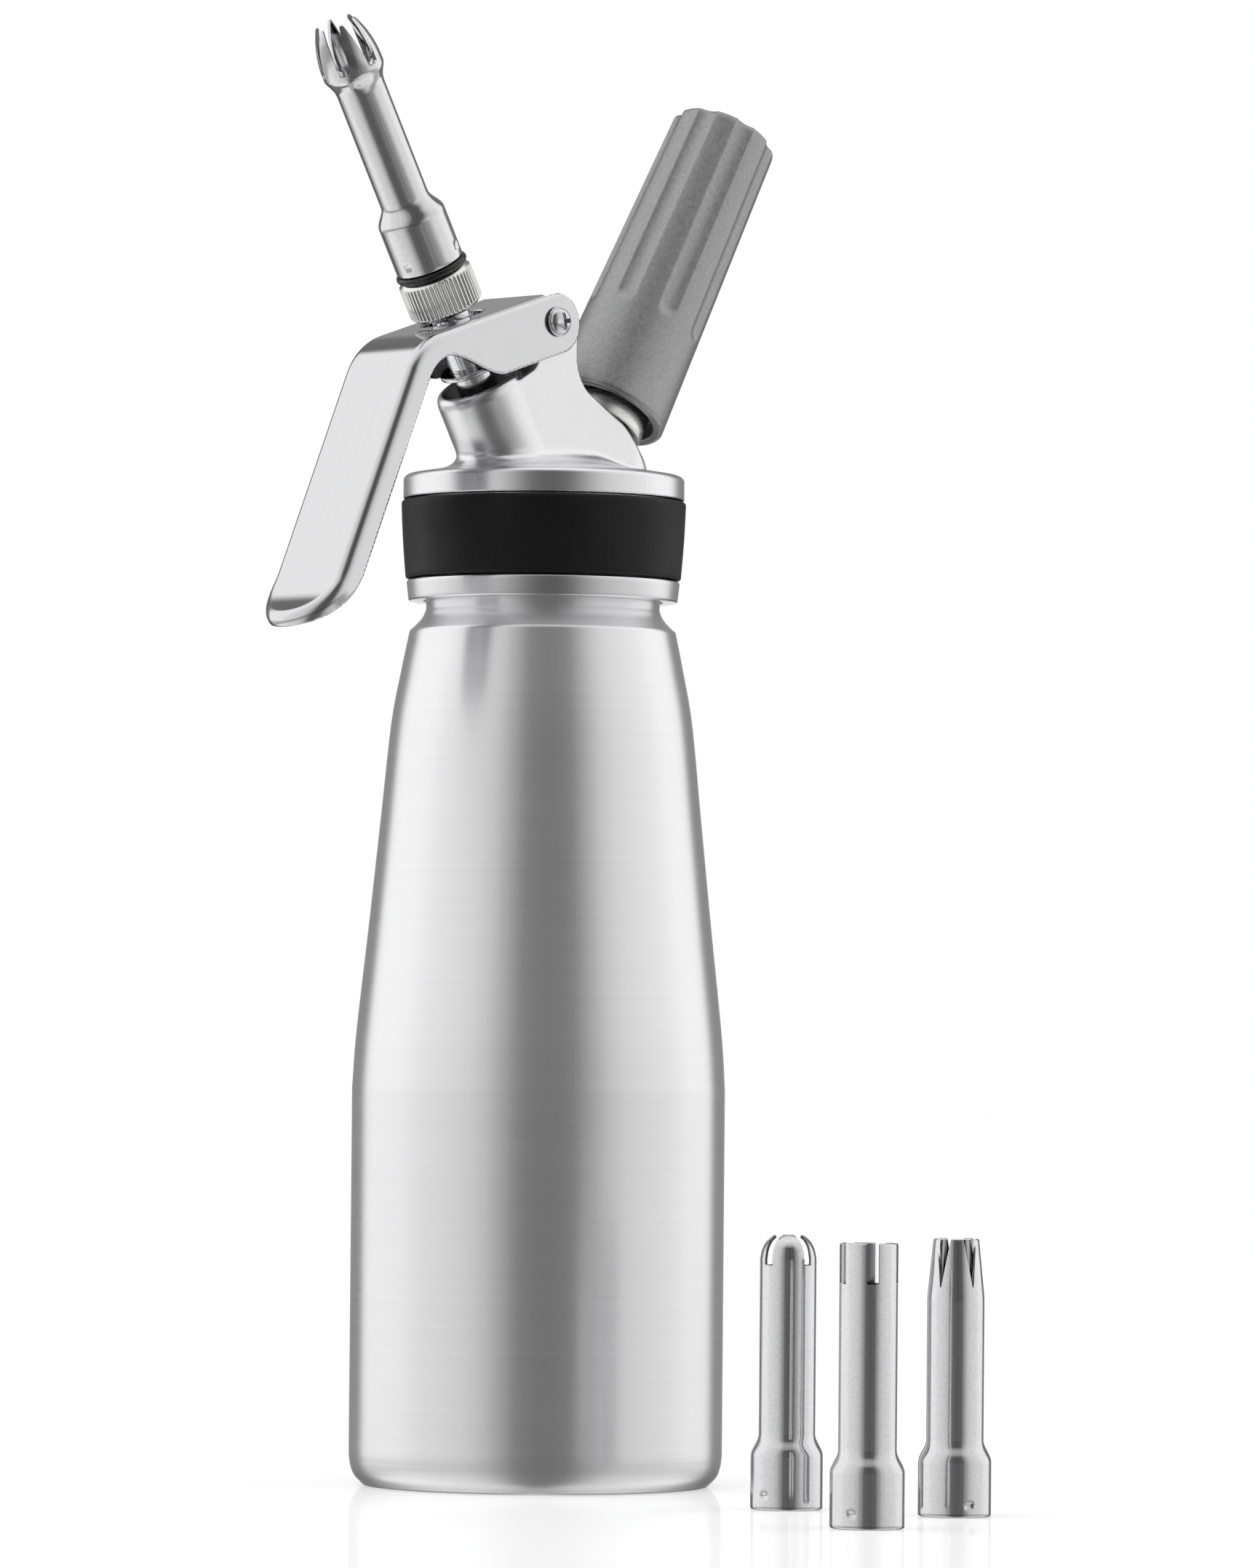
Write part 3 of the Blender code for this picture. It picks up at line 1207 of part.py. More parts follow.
def make_holder():
    mouth_step = HOLDER_BOTTOM + HOLDER_MOUTH_BORE_DEPTH
    thread_top = mouth_step + HOLDER_THREAD_DEPTH
    bore_top = CHARGER_END + SEAT_GAP
    end_corner = (HOLDER_END_RADIUS - HOLDER_EDGE_ROUND, HOLDER_TOP - HOLDER_EDGE_ROUND)
    mouth_corner = (HOLDER_MOUTH_RADIUS - HOLDER_EDGE_ROUND, HOLDER_BOTTOM + HOLDER_EDGE_ROUND)
    profile = [(0, HOLDER_TOP)] + arc(end_corner, HOLDER_EDGE_ROUND, math.pi / 2, 0)
    profile += arc(mouth_corner, HOLDER_EDGE_ROUND, 0, -math.pi / 2)
    profile += [
        (HOLDER_MOUTH_BORE_RADIUS, HOLDER_BOTTOM),
        (HOLDER_MOUTH_BORE_RADIUS, mouth_step),
        (HOLDER_THREAD_RADIUS, mouth_step),
        (HOLDER_THREAD_RADIUS, thread_top),
        (HOLDER_BORE_RADIUS, thread_top),
        (HOLDER_BORE_RADIUS, bore_top),
        (0, bore_top),
    ]
    holder = turned("charger_holder", profile, holder_frame, parts, "cast_grey")
    half_width = FLUTE_WIDTH / 2
    radius = (half_width**2 + FLUTE_DEPTH**2) / (2 * FLUTE_DEPTH)
    foot = HOLDER_TOP - FLUTE_LENGTH + half_width
    lean = math.atan((HOLDER_MOUTH_RADIUS - HOLDER_END_RADIUS) / HOLDER_LENGTH)
    capsule = arc((0, 0), radius, -math.pi / 2, 0)
    capsule += [(radius, FLUTE_LENGTH + OVERRUN), (0, FLUTE_LENGTH + OVERRUN)]
    shape = bmesh.new()
    for i in range(FLUTES):
        at = Vector((holder_radius(foot) + radius - FLUTE_DEPTH, 0, foot))
        spin = Matrix.Rotation(2 * math.pi * (i + FLUTE_TURN) / FLUTES, 4, "Z")
        add_turned(shape, capsule, spin @ Matrix.Translation(at) @ Matrix.Rotation(-lean, 4, "Y"))
    boolean(holder, place(object_from_bmesh("holder_flutes", shape), holder_frame, cutters))


def add_turned(shape, profile, matrix, steps=SMALL_ROUND_STEPS):
    """Adds a turned solid to the shape. Its profile starts and ends on the axis."""
    poles = [shape.verts.new(matrix @ Vector((0, 0, end[1]))) for end in (profile[0], profile[-1])]
    rings = []
    for radius, height in profile[1:-1]:
        turns = [2 * math.pi * i / steps for i in range(steps)]
        rings.append(
            [
                shape.verts.new(matrix @ Vector((radius * math.cos(t), radius * math.sin(t), height)))
                for t in turns
            ]
        )
    for i in range(steps):
        k = (i + 1) % steps
        shape.faces.new((poles[0], rings[0][k], rings[0][i]))
        for lower, upper in zip(rings, rings[1:]):
            shape.faces.new((lower[i], lower[k], upper[k], upper[i]))
        shape.faces.new((poles[1], rings[-1][i], rings[-1][k]))


def tip_place(name, spot):
    return add_frame(name, (*spot, 0), 0.0, bottle_frame)


clear_scene()
parts = new_collection(OBJECT_NAME)
cutters = new_collection("Cutters")

crossing = (0, 0, AXES_CROSSING)
pivot_place = (PIVOT_X, 0, PIVOT_Z)
bottle_frame = add_frame("bottle_frame")
gasket_frame = add_frame("gasket_frame", parent=bottle_frame)
head_frame = add_frame("head_frame", parent=gasket_frame)
head_valve_frame = add_frame("spout_frame", crossing, -AXIS_TILT, head_frame)
valve_frame = add_frame("valve_frame", parent=head_valve_frame)
ring_frame = add_frame("adapter_ring_frame", parent=valve_frame)
adapter_frame = add_frame("adapter_frame", parent=ring_frame)
tulip_frame = add_frame("tulip_frame", (0, 0, TIP_BASE), 0.0, adapter_frame)
charger_frame = add_frame("charger_port_frame", crossing, AXIS_TILT, head_frame)
cartridge_frame = add_frame("charger_frame", parent=charger_frame)
holder_frame = add_frame("holder_frame", parent=cartridge_frame)
lever_frame = add_frame("lever_frame", pivot_place, 0.0, head_frame)
pivot_frame = add_frame("pivot_frame", pivot_place, 0.0, head_frame)
round_tip_frame = tip_place("round_tip_frame", ROUND_TIP_PLACE)
straight_tip_frame = tip_place("straight_tip_frame", STRAIGHT_TIP_PLACE)
star_tip_frame = tip_place("star_tip_frame", STAR_TIP_PLACE)

make_bottle()
make_head_gasket()
make_head_body()
make_grip_band()
make_valve()
make_gland_and_spring()
make_adapter()
make_tulip_tip()
make_spare_tips()
make_lever()
make_pivot()
make_charger_port()
make_charger()
make_holder()
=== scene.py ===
"""Looks of the whipped cream dispenser: fine surfaces, finishes, studio and camera."""

import math

import bmesh
import bpy
import numpy as np
from mathutils import Matrix, Vector


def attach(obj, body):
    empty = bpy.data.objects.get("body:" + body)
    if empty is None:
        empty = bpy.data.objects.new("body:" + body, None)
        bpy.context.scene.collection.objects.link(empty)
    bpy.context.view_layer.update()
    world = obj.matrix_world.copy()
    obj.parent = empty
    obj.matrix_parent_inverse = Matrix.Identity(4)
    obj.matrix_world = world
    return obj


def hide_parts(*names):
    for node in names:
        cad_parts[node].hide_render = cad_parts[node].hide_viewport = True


bl_info = {
    "name": "Whipped cream dispenser",
    "version": (1, 0, 0),
    "blender": (4, 5, 0),
    "location": "View3D > Sidebar > Dispenser",
    "description": "Makes the visible pieces of a whipped cream dispenser and its studio",
    "category": "Object",
}

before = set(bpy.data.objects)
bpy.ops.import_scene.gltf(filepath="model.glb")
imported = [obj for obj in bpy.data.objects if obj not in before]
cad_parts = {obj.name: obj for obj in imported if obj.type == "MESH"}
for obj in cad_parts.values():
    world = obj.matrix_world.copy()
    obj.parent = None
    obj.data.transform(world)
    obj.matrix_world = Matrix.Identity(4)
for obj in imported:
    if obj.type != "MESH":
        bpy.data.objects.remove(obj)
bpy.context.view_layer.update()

MM = 0.001
CROSSING = np.array((0.0, 0.0, 0.2))  # where the valve's and the charger's axes meet
TILT = math.radians(30)  # of both axes from upright
PIVOT = np.array((-0.0071, 0.0, 0.2488))  # middle of the lever's screw
WEB_SLOPE = math.radians(18)  # of the lever's web below level
COLLAR_SPAN = (0.050484, 0.053084)  # the thrust collar, along the valve's axis
TIP_BASE = 0.0690  # the fitted tip's foot, along the valve's axis


# ---------------------------------------------------------------- surfaces


def leaning(points, tilt, origin):
    """Local points turned about Y so that +Z leans by tilt towards +X, then moved to origin."""
    x, y, z = points[..., 0], points[..., 1], points[..., 2]
    cosine, sine = math.cos(tilt), math.sin(tilt)
    return np.stack((x * cosine + z * sine, y, z * cosine - x * sine), -1) + origin


def on_valve(points):
    """Local points with +Z along the valve's axis."""
    return leaning(points, -TILT, CROSSING)


def on_charger(points):
    """Local points with +Z along the charger's axis."""
    return leaning(points, TILT, CROSSING)


def quads(rows, columns, wrap_rows=False, wrap_columns=False):
    """Corner numbers of each cell of a grid of points, row by row."""
    i = np.arange(rows if wrap_rows else rows - 1)
    j = np.arange(columns if wrap_columns else columns - 1)
    i, j = np.meshgrid(i, j, indexing="ij")
    k, m = (i + 1) % rows, (j + 1) % columns
    cells = (i * columns + j, i * columns + m, k * columns + m, k * columns + j)
    return np.stack(cells, -1).reshape(-1, 4)


def signed_volume(points, faces):
    """Sum over the faces of corner0 . (corner1 x corner2) / 6, for both halves of each quad."""
    a, b, c, d = (points[faces[:, i]] for i in range(4))
    halves = np.einsum("ij,ij->i", a, np.cross(b, c)) + np.einsum("ij,ij->i", a, np.cross(c, d))
    return halves.sum() / 6


def solid(name, points, faces):
    """A closed mesh object from arrays of points and quads: doubles merged, faces outwards."""
    points = np.asarray(points, float).reshape(-1, 3)
    faces = np.asarray(faces)
    if signed_volume(points, faces) < 0:
        faces = faces[:, ::-1]
    mesh = bpy.data.meshes.new(name)
    mesh.vertices.add(len(points))
    mesh.vertices.foreach_set("co", points.ravel())
    mesh.loops.add(faces.size)
    mesh.loops.foreach_set("vertex_index", faces.ravel().astype(np.int32))
    mesh.polygons.add(len(faces))
    mesh.polygons.foreach_set("loop_start", np.arange(0, faces.size, 4, dtype=np.int32))
    mesh.update(calc_edges=True)
    build = bmesh.new()
    build.from_mesh(mesh)
    bmesh.ops.remove_doubles(build, verts=build.verts, dist=1e-6)
    bmesh.ops.dissolve_degenerate(build, edges=build.edges, dist=1e-7)
    build.to_mesh(mesh)
    build.free()
    piece = bpy.data.objects.new(name, mesh)
    bpy.context.scene.collection.objects.link(piece)
    return piece


def points_of(mesh):
    """The mesh's points, a row for each."""
    points = np.empty(len(mesh.vertices) * 3)
    mesh.vertices.foreach_get("co", points)
    return points.reshape(-1, 3)


def move(piece, place):
    """Every point p of the piece goes to place(p)."""
    piece.data.vertices.foreach_set("co", place(points_of(piece.data)).ravel())
    piece.data.update()


def carve(piece, cutters):
    """Takes the cutters' shapes out of the piece, and removes the cutters."""
    for cutter in cutters:
        cut = piece.modifiers.new("cut", "BOOLEAN")
        cut.operation = "DIFFERENCE"
        cut.solver = "MANIFOLD"
        cut.object = cutter
    graph = bpy.context.evaluated_depsgraph_get()
    mesh = bpy.data.meshes.new_from_object(piece.evaluated_get(graph))
    piece.modifiers.clear()
    old, piece.data = piece.data, mesh
    mesh.name = piece.name
    bpy.data.meshes.remove(old)
    for cutter in cutters:
        old = cutter.data
        bpy.data.objects.remove(cutter)
        bpy.data.meshes.remove(old)


def finish_piece(piece, finish, body, node, sharp=40):
    """Shades the piece smooth, but for edges over sharp degrees, and gives it its finish.

    It rides on its body in place of its CAD node.
    """
    piece.data.shade_smooth()
    if sharp:
        piece.data.set_sharp_from_angle(angle=math.radians(sharp))
    piece.data.materials.clear()
    piece.data.materials.append(made_finish(finish))
    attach(piece, body)
    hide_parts(node)


def rounded(corners, steps=8):
    """A closed line of (across, along, radius) corners, each one an arc of its radius.

    An arc's centre lies on the corner's bisector at radius / sin(half the corner's angle).
    """
    line = []
    count = len(corners)
    for i, (across, along, radius) in enumerate(corners):
        corner = np.array((across, along))
        if radius <= 0:
            line.append(corner[None])
            continue
        before = np.array(corners[i - 1][:2]) - corner
        after = np.array(corners[(i + 1) % count][:2]) - corner
        before, after = before / np.linalg.norm(before), after / np.linalg.norm(after)
        half = math.acos(np.clip(before @ after, -1, 1)) / 2
        middle = before + after
        centre = corner + middle / np.linalg.norm(middle) * radius / math.sin(half)
        first = corner + before * radius / math.tan(half) - centre
        last = corner + after * radius / math.tan(half) - centre
        start = math.atan2(first[1], first[0])
        sweep = math.remainder(math.atan2(last[1], last[0]) - start, 2 * math.pi)
        turn = start + sweep * np.linspace(0, 1, steps + 1)
        line.append(centre + radius * np.stack((np.cos(turn), np.sin(turn)), -1))
    return np.concatenate(line)


def split_long(line, most, closed=True):
    """The line with points added, so that no stretch is longer than most."""
    closed = closed and line[0, 0] > 0
    ends = np.roll(line, -1, 0) if closed else line[1:]
    starts = line if closed else line[:-1]
    ways = ends - starts
    parts = np.maximum(np.ceil(np.hypot(ways[:, 0], ways[:, 1]) / most), 1).astype(int)
    stretch = np.repeat(np.arange(len(parts)), parts)
    place = np.arange(len(stretch)) - np.repeat(np.cumsum(parts) - parts, parts)
    share = (place * (1 / parts[stretch]))[:, None]
    points = starts[stretch] + ways[stretch] * share
    return points if closed else np.concatenate((points, line[-1:]))


def smooth_line(knots, steps):
    """Points on a Catmull-Rom curve through the knots."""
    knots = np.asarray(knots, float)
    ends = np.concatenate((knots[:1] * 2 - knots[1:2], knots, knots[-1:] * 2 - knots[-2:-1]))
    a, b, c, d = ends[:-3, None], ends[1:-2, None], ends[2:-1, None], ends[3:, None]
    t = np.linspace(0, 1, steps, endpoint=False)[None, :, None]
    curve = b + (c - a) * t / 2 + (a - 2.5 * b + 2 * c - d / 2) * t**2
    curve = curve + (1.5 * (b - c) + (d - a) / 2) * t**3
    return np.concatenate((curve.reshape(-1, knots.shape[1]), knots[-1:]))


def spun(line, turns=192, wave=None, place=None):
    """Grid of a turned shape: (r cos a, r sin a, h) for each (r, h) of the line.

    wave(radius, height, angle) may return other radii, for ribs, flutes and threads.
    """
    angle = np.linspace(0, 2 * math.pi, turns, endpoint=False)[None]
    radius, height = line[:, :1], line[:, 1:]
    radius = radius + 0 * angle
    height = height + 0 * angle
    if wave:
        radius = wave(radius, height, angle)
    points = np.stack((radius * np.cos(angle), radius * np.sin(angle), height), -1)
    return place(points) if place else points


def turn_piece(name, line, finish, body, node, turns=192, wave=None, place=None, sharp=40):
    """A turned piece with a (radius, height) line as its section, closed or from axis to axis."""
    points = spun(line, turns, wave, place)
    faces = quads(len(line), turns, line[0, 0] > 0, True)
    finish_piece(solid(name, points, faces), finish, body, node, sharp)


def thread(pitch, depth, low, high, fade=0.0012):
    """A helical ridge between two heights.

    It adds depth * w to the radius, where w is 0.5 + 0.5 cos(2 pi h / pitch - a), stretched by
    1.6 about its middle, kept within 0 to 1, and faded in and out at the ends.
    """

    def wave(radius, height, angle):
        ridge = 0.5 + 0.5 * np.cos(2 * math.pi * height / pitch - angle)
        ridge = np.clip(ridge * 1.6 - 0.3, 0, 1)
        ends = np.clip((height - low) / fade, 0, 1) * np.clip((high - height) / fade, 0, 1)
        return radius + depth * ridge * ends

    return wave


# ------------------------------------------------- fields, for cast and pressed shapes


def joined(a, b, radius):
    """Union of two fields with a fillet: max(r, min(a, b)) - |(r - a, r - b)|, where positive."""
    corner = np.hypot(np.maximum(radius - a, 0), np.maximum(radius - b, 0))
    return np.maximum(radius, np.minimum(a, b)) - corner


def common(a, b, radius):
    """Common part of two fields with a rounded edge: -joined(-a, -b)."""
    return -joined(-a, -b, radius)


def differences(field, points, step):
    """The field's change over two steps along each axis, a column for each."""
    ways = step * np.eye(3)
    return np.stack([field(*(points + way).T) - field(*(points - way).T) for way in ways], -1)


def skin(field, low, high, cell):
    """Quads of the surface where the field is zero, inside being negative.

    Each cell that the surface crosses gets a point at the mean of its edge crossings, each
    crossed edge a quad of its four cells' points, and the points then move by -f grad f /
    |grad f|^2 three times, which puts them on the surface.
    """
    axes = [np.arange(a, b + cell, cell) for a, b in zip(low, high)]
    value = field(*np.meshgrid(*axes, indexing="ij", sparse=True))
    size = np.array(value.shape) - 1
    inside = value < 0
    total = np.zeros((size.prod(), 3))
    hits = np.zeros(size.prod())
    faces = []
    for axis in range(3):
        near = [slice(None)] * 3
        far = [slice(None)] * 3
        near[axis], far[axis] = slice(None, -1), slice(1, None)
        near, far = tuple(near), tuple(far)
        at = np.argwhere(inside[near] != inside[far])
        f0, f1 = value[near][tuple(at.T)], value[far][tuple(at.T)]
        point = np.stack([axes[i][at[:, i]] for i in range(3)], -1)
        point[:, axis] += cell * f0 / (f0 - f1)
        side, other = (axis + 1) % 3, (axis + 2) % 3
        ring = []
        fits = np.ones(len(at), bool)
        for back, down in ((1, 1), (0, 1), (0, 0), (1, 0)):
            place = at.copy()
            place[:, side] -= back
            place[:, other] -= down
            real = ((place >= 0) & (place < size)).all(1)
            fits &= real
            number = np.ravel_multi_index(tuple(np.clip(place, 0, size - 1).T), size)
            for k in range(3):
                total[:, k] += np.bincount(number[real], point[real, k], len(total))
            hits += np.bincount(number[real], minlength=len(hits))
            ring.append(number)
        ring = np.stack(ring, -1)
        outward = f0 < 0
        ring[~outward] = ring[~outward][:, ::-1]
        faces.append(ring[fits])
    used = np.flatnonzero(hits)
    points = total[used] / hits[used, None]
    number = np.zeros(len(hits), np.int64)
    number[used] = np.arange(len(used))
    for _ in range(3):
        f = field(*points.T)
        step = cell * 0.02
        slope = differences(field, points, step) / (2 * step)
        length = np.maximum((slope**2).sum(1), 0.25)
        points -= np.clip(slope * (f / length)[:, None], -cell, cell)
    return points, number[np.concatenate(faces)]


def cast_piece(name, field, low, high, finish, body, node):
    """A piece with fillets and openings that no single grid gives: the skin of a field in mm.

    Its shading normals are the field's gradient, so the facets don't show.
    """
    cell = bpy.context.scene.dispenser.casting_cell / MM
    points, faces = skin(field, low, high, cell)
    piece = solid(name, points * MM, faces)
    normal = differences(field, points_of(piece.data) / MM, 0.05)
    normal /= np.maximum(np.linalg.norm(normal, axis=1, keepdims=True), 1e-9)
    finish_piece(piece, finish, body, node, sharp=0)
    piece.data.normals_split_custom_set_from_vertices(normal)


def shares(pairs, start, end):
    """(radius, height) points between two given ones, from shares of the height and the radius."""
    pairs = np.asarray(pairs)
    start, end = np.asarray(start), np.asarray(end)
    return start + (end - start) * pairs[:, ::-1]


def arc(centre, radius, start, end, steps):
    """Points of centre + radius * (cos a, sin a), from the angle start to end."""
    turn = np.linspace(start, end, steps + 1)
    return np.asarray(centre) + radius * np.stack((np.cos(turn), np.sin(turn)), -1)


def offset(line, distance):
    """The open line moved sideways by distance, to the left of its direction."""
    way = np.gradient(line, axis=0)
    way /= np.linalg.norm(way, axis=1, keepdims=True)
    return line + distance * np.stack((-way[:, 1], way[:, 0]), -1)


def smooth_step(value, start, end):
    """3 s^2 - 2 s^3 of the share s of the way from start to end."""
    share = np.clip((value - start) / (end - start), 0, 1)
    return share * share * (3 - 2 * share)


def prism(name, outline, near, far, axes):
    """A closed outline (across, up) carried from near to far along the third axis, with ends."""
    middle = np.repeat(outline.mean(0)[None], len(outline), 0)
    rows = [(middle, near), (outline, near), (outline, far), (middle, far)]
    flat = np.stack([np.column_stack((line, np.full(len(line), out))) for line, out in rows])
    return solid(name, flat @ np.asarray(axes), quads(4, len(outline), False, True))


# ---------------------------------------------------------------- bottle and head

# in mm, but for the pitch
NECK_PITCH = 3.0 * MM
FLANGE_FOOT = 211.3
BODY_HALF = 9.4
PIVOT_X, PIVOT_Z = -7.1, 248.8
PIVOT_HOLE = 2.3


def bottle_line():
    """Section of the bottle: outside from the base's middle up to the neck, then the inside.

    The foot, the taper and the shoulder are smooth lines through shares of (height, radius).
    """
    base = [(0, 0), (0.30, 0.60), (0.62, 0.88), (1, 1)]
    taper = [(0, 0), (0.12, 0.07), (0.36, 0.29), (0.60, 0.50), (0.80, 0.675), (0.92, 0.86), (1, 1)]
    roll = [(0, 0), (0.30, 0.42), (0.62, 0.78), (1, 1)]
    foot = smooth_line(shares(base, (36.9, 0.0), (40, 6.5)), 6)
    sides = smooth_line(shares(taper, (40, 85), (28.6, 183)), 14)
    shoulder = smooth_line(shares(roll, (28.6, 183), (25.1, 187.6)), 6)
    dished = [(0, 0.9), (31, 0.9)]
    ring = arc((33.4, 0.9), 0.9, -math.pi * 0.6, -math.pi / 2, 4)
    neck = [(25.1, 207.7)]
    outside = np.concatenate((dished, ring, foot, sides, shoulder[1:], neck))
    lip = np.concatenate(
        (
            arc((24.7, 207.6), 0.4, 0, math.pi / 2, 4),
            arc((23.7, 207.6), 0.4, math.pi / 2, math.pi, 4),
        )
    )
    wall = 1.5
    inner = offset(sides[:-3], wall)[::-1]
    inside = np.concatenate(([(23.3, 184.6)], inner, [(38.5, 6.5), (35.4, 2.2), (0, 2.2)]))
    outside, inside = split_long(outside, 1.3, False), split_long(inside, 5, False)
    return np.concatenate((outside, lip, inside)) * MM


def make_bottle_piece():
    """Turned: r(h) along the section, plus a helical ridge on the neck."""
    depth = bpy.context.scene.dispenser.thread_depth
    ridge = thread(NECK_PITCH, depth, 194.5 * MM, 206.0 * MM)

    def wave(radius, height, angle):
        return np.where(radius > 25 * MM, ridge(radius, height, angle), radius)

    turn_piece("bottle_shell", bottle_line(), "bottle", "bottle", "bottle", 256, wave, sharp=50)


def head_field(x, y, z):
    """Head above the grip band, in mm: flange and dome, spout, middle body and lug, less bores.

    aside and along are the way from and on the valve's axis, across and up the same for the
    charger's. Each form is a distance to planes and cylinders, joined with fillets.
    """
    lean, half = 0.866025, 0.5
    aloft = z - 200
    along, aside = -half * x + lean * aloft, lean * x + half * aloft
    up, across = half * x + lean * aloft, lean * x - half * aloft
    around = np.hypot(aside, y)
    r = np.hypot(x, y)
    # flange, its dome sloping by 14.6 degrees, and the plug under it
    slope = (r - 20) * 0.2529 + (z - 219.8) * 0.9675
    flange = common(common(slope, z - 219.8, 6.0), r - 30.2, 1.4)
    flange = common(flange, FLANGE_FOOT - z, 0.4)
    plug = np.maximum(r - 12, np.maximum(210.3 - z, z - 213))
    # lug between the lever's cheeks, round over the pivot, and the body between the axes
    middle = np.hypot(np.maximum(-aside, 0) + np.maximum(x - 18.1, 0), y) - BODY_HALF
    lug = common(x - 0.8, z - 252.9, 2.2)
    lug = np.maximum(lug, -11.2 - x)
    front = np.hypot(np.minimum(x - PIVOT_X, 0), np.maximum(z - PIVOT_Z, 0)) - 4.1
    lug = np.where((x < PIVOT_X) & (z > PIVOT_Z), np.maximum(front, lug), lug)
    side = joined(np.maximum(along - 39.4, up - 32), lug, 1.6 + 2.4 * smooth_step(x, -8, -4))
    body = common(middle, side, 0.7 + 3.8 * smooth_step(x, 14, 22))
    body = np.maximum(body, 212 - z)
    # spout
    spout = np.maximum(common(around - BODY_HALF, along - 41, 1.6), 20 - along)
    body = joined(body, np.maximum(spout, 212 - z), 0.5)
    head = joined(body, flange, 4.6 * (1 - 0.55 * smooth_step(x, 4, 18)))
    head = np.minimum(head, plug)
    # stepped bores on both axes and the pivot's hole
    bore = np.minimum(
        np.maximum(around - 7.1, along - 13.8), np.maximum(around - 5.6, along - 20.5)
    )
    bore = np.minimum(bore, np.maximum(around - 7.0, 20 - along))
    bore = np.minimum(bore, np.maximum(around - 7.8, 37 - along))
    across = np.hypot(across, y)
    passage = np.minimum(np.maximum(across - 1.5, 5 - up), np.maximum(across - 4.5, 19 - up))
    passage = np.minimum(passage, np.maximum(across - 6.3, 24 - up))
    head = common(head, -np.minimum(bore, passage), 0.35)
    return common(head, PIVOT_HOLE - np.hypot(x - PIVOT_X, z - PIVOT_Z), 0.3)


def make_head_top():
    """The skin of head_field."""
    box = (-31, -31, 209.4), (31, 31, 254)
    cast_piece("head_casting", head_field, *box, "head", "head", "head_body")


def make_collar():
    """Turned: the band's seat, the ring under it and the threaded bore."""
    line = rounded(
        [
            (11.9, 211.36, 0),
            (27.5, 211.36, 0),
            (27.5, 193.9, 0.3),
            (29.4, 193.9, 0.5),
            (28.9, 189.4, 0.5),
            (25.6, 189.4, 0.4),
            (25.6, 210.3, 0.3),
            (11.9, 210.3, 0),
        ],
        6,
    )
    line = split_long(line, 0.7) * MM
    groove = thread(NECK_PITCH, -0.1 * MM, 191.0 * MM, 206.0 * MM)

    def wave(radius, height, angle):
        bore = np.abs(radius - 25.6 * MM) < 0.01 * MM
        return np.where(bore, groove(radius, height, angle), radius)

    turn_piece("head_collar", line, "head", "head", "head_body", 224, wave)


def make_band():
    """Turned: a tapering sleeve, bulging by 0.12 mm between its rounded edges."""
    share = np.linspace(0, 1, 26)
    outer = 29.62 + 0.98 * share + 0.12 * np.sin(math.pi * share)
    bulge = np.column_stack((outer, 194.75 + 15.7 * share))
    line = np.concatenate(
        (
            [(27.8, 194.2)],
            arc((29.1, 194.75), 0.5, -math.pi / 2, -0.1, 6),
            bulge,
            arc((30.05, 210.5), 0.5, 0.1, math.pi / 2, 6),
            [(27.8, 211.0)],
        )
    )
    turn_piece("grip_sleeve", split_long(line, 0.8) * MM, "band", "head", "grip_band", 224)


# ---------------------------------------------------------------- lever

# in mm
WEB_RISE = 6.3
WEB_LENGTH = 39.5
HANDLE_LENGTH = 53.3
HANDLE_LEAN = math.radians(23.7)
BEND_RADIUS = 15
FLARE_RADIUS = 23
FLARE_SWEEP = math.radians(36)


def lever_path(x, z):
    """(run, depth, flare) of a point of the side view, in mm from the pivot.

    The outer line is a straight web, a bend, a straight handle and a flare the other way; run
    is the distance along it, depth the distance below it, flare the run where the flare starts.
    On a straight these are dot products with its direction and its normal, and on an arc the
    radius times the angle, and the radius less the distance from its centre.
    """
    first = math.pi + WEB_SLOPE
    second = 1.5 * math.pi - HANDLE_LEAN
    tangent = BEND_RADIUS * math.tan((second - first) / 2)
    web = WEB_LENGTH - tangent
    straight = HANDLE_LENGTH - tangent
    t0 = np.array((math.cos(first), math.sin(first)))
    n0 = np.array((-t0[1], t0[0]))
    t1 = np.array((math.cos(second), math.sin(second)))
    n1 = np.array((-t1[1], t1[0]))
    start = np.array((-WEB_RISE * math.sin(WEB_SLOPE), WEB_RISE * math.cos(WEB_SLOPE)))
    bend = start + web * t0 + BEND_RADIUS * n0
    handle = bend - BEND_RADIUS * n1
    flare = handle + straight * t1 - FLARE_RADIUS * n1

    def seen(origin, along, below):
        u, v = x - origin[0], z - origin[1]
        return u * along[0] + v * along[1], u * below[0] + v * below[1], np.hypot(u, v)

    run_a, depth_a, _ = seen(start, t0, n0)
    ahead, under, far = seen(bend, t0, n0)
    run_b = web + BEND_RADIUS * np.arctan2(ahead, -under)
    depth_b = BEND_RADIUS - far
    at = web + BEND_RADIUS * (second - first)
    run_c, depth_c, _ = seen(handle, t1, n1)
    ahead, under, far = seen(flare, t1, n1)
    run_d = at + straight + FLARE_RADIUS * np.arctan2(ahead, under)
    depth_d = far - FLARE_RADIUS
    run = np.where(run_c < straight, at + run_c, run_d)
    depth = np.where(run_c < straight, depth_c, depth_d)
    run, depth = np.where(run_c < 0, run_b, run), np.where(run_c < 0, depth_b, depth)
    run, depth = np.where(run_a < web, run_a, run), np.where(run_a < web, depth_a, depth)
    return run, depth, at + straight


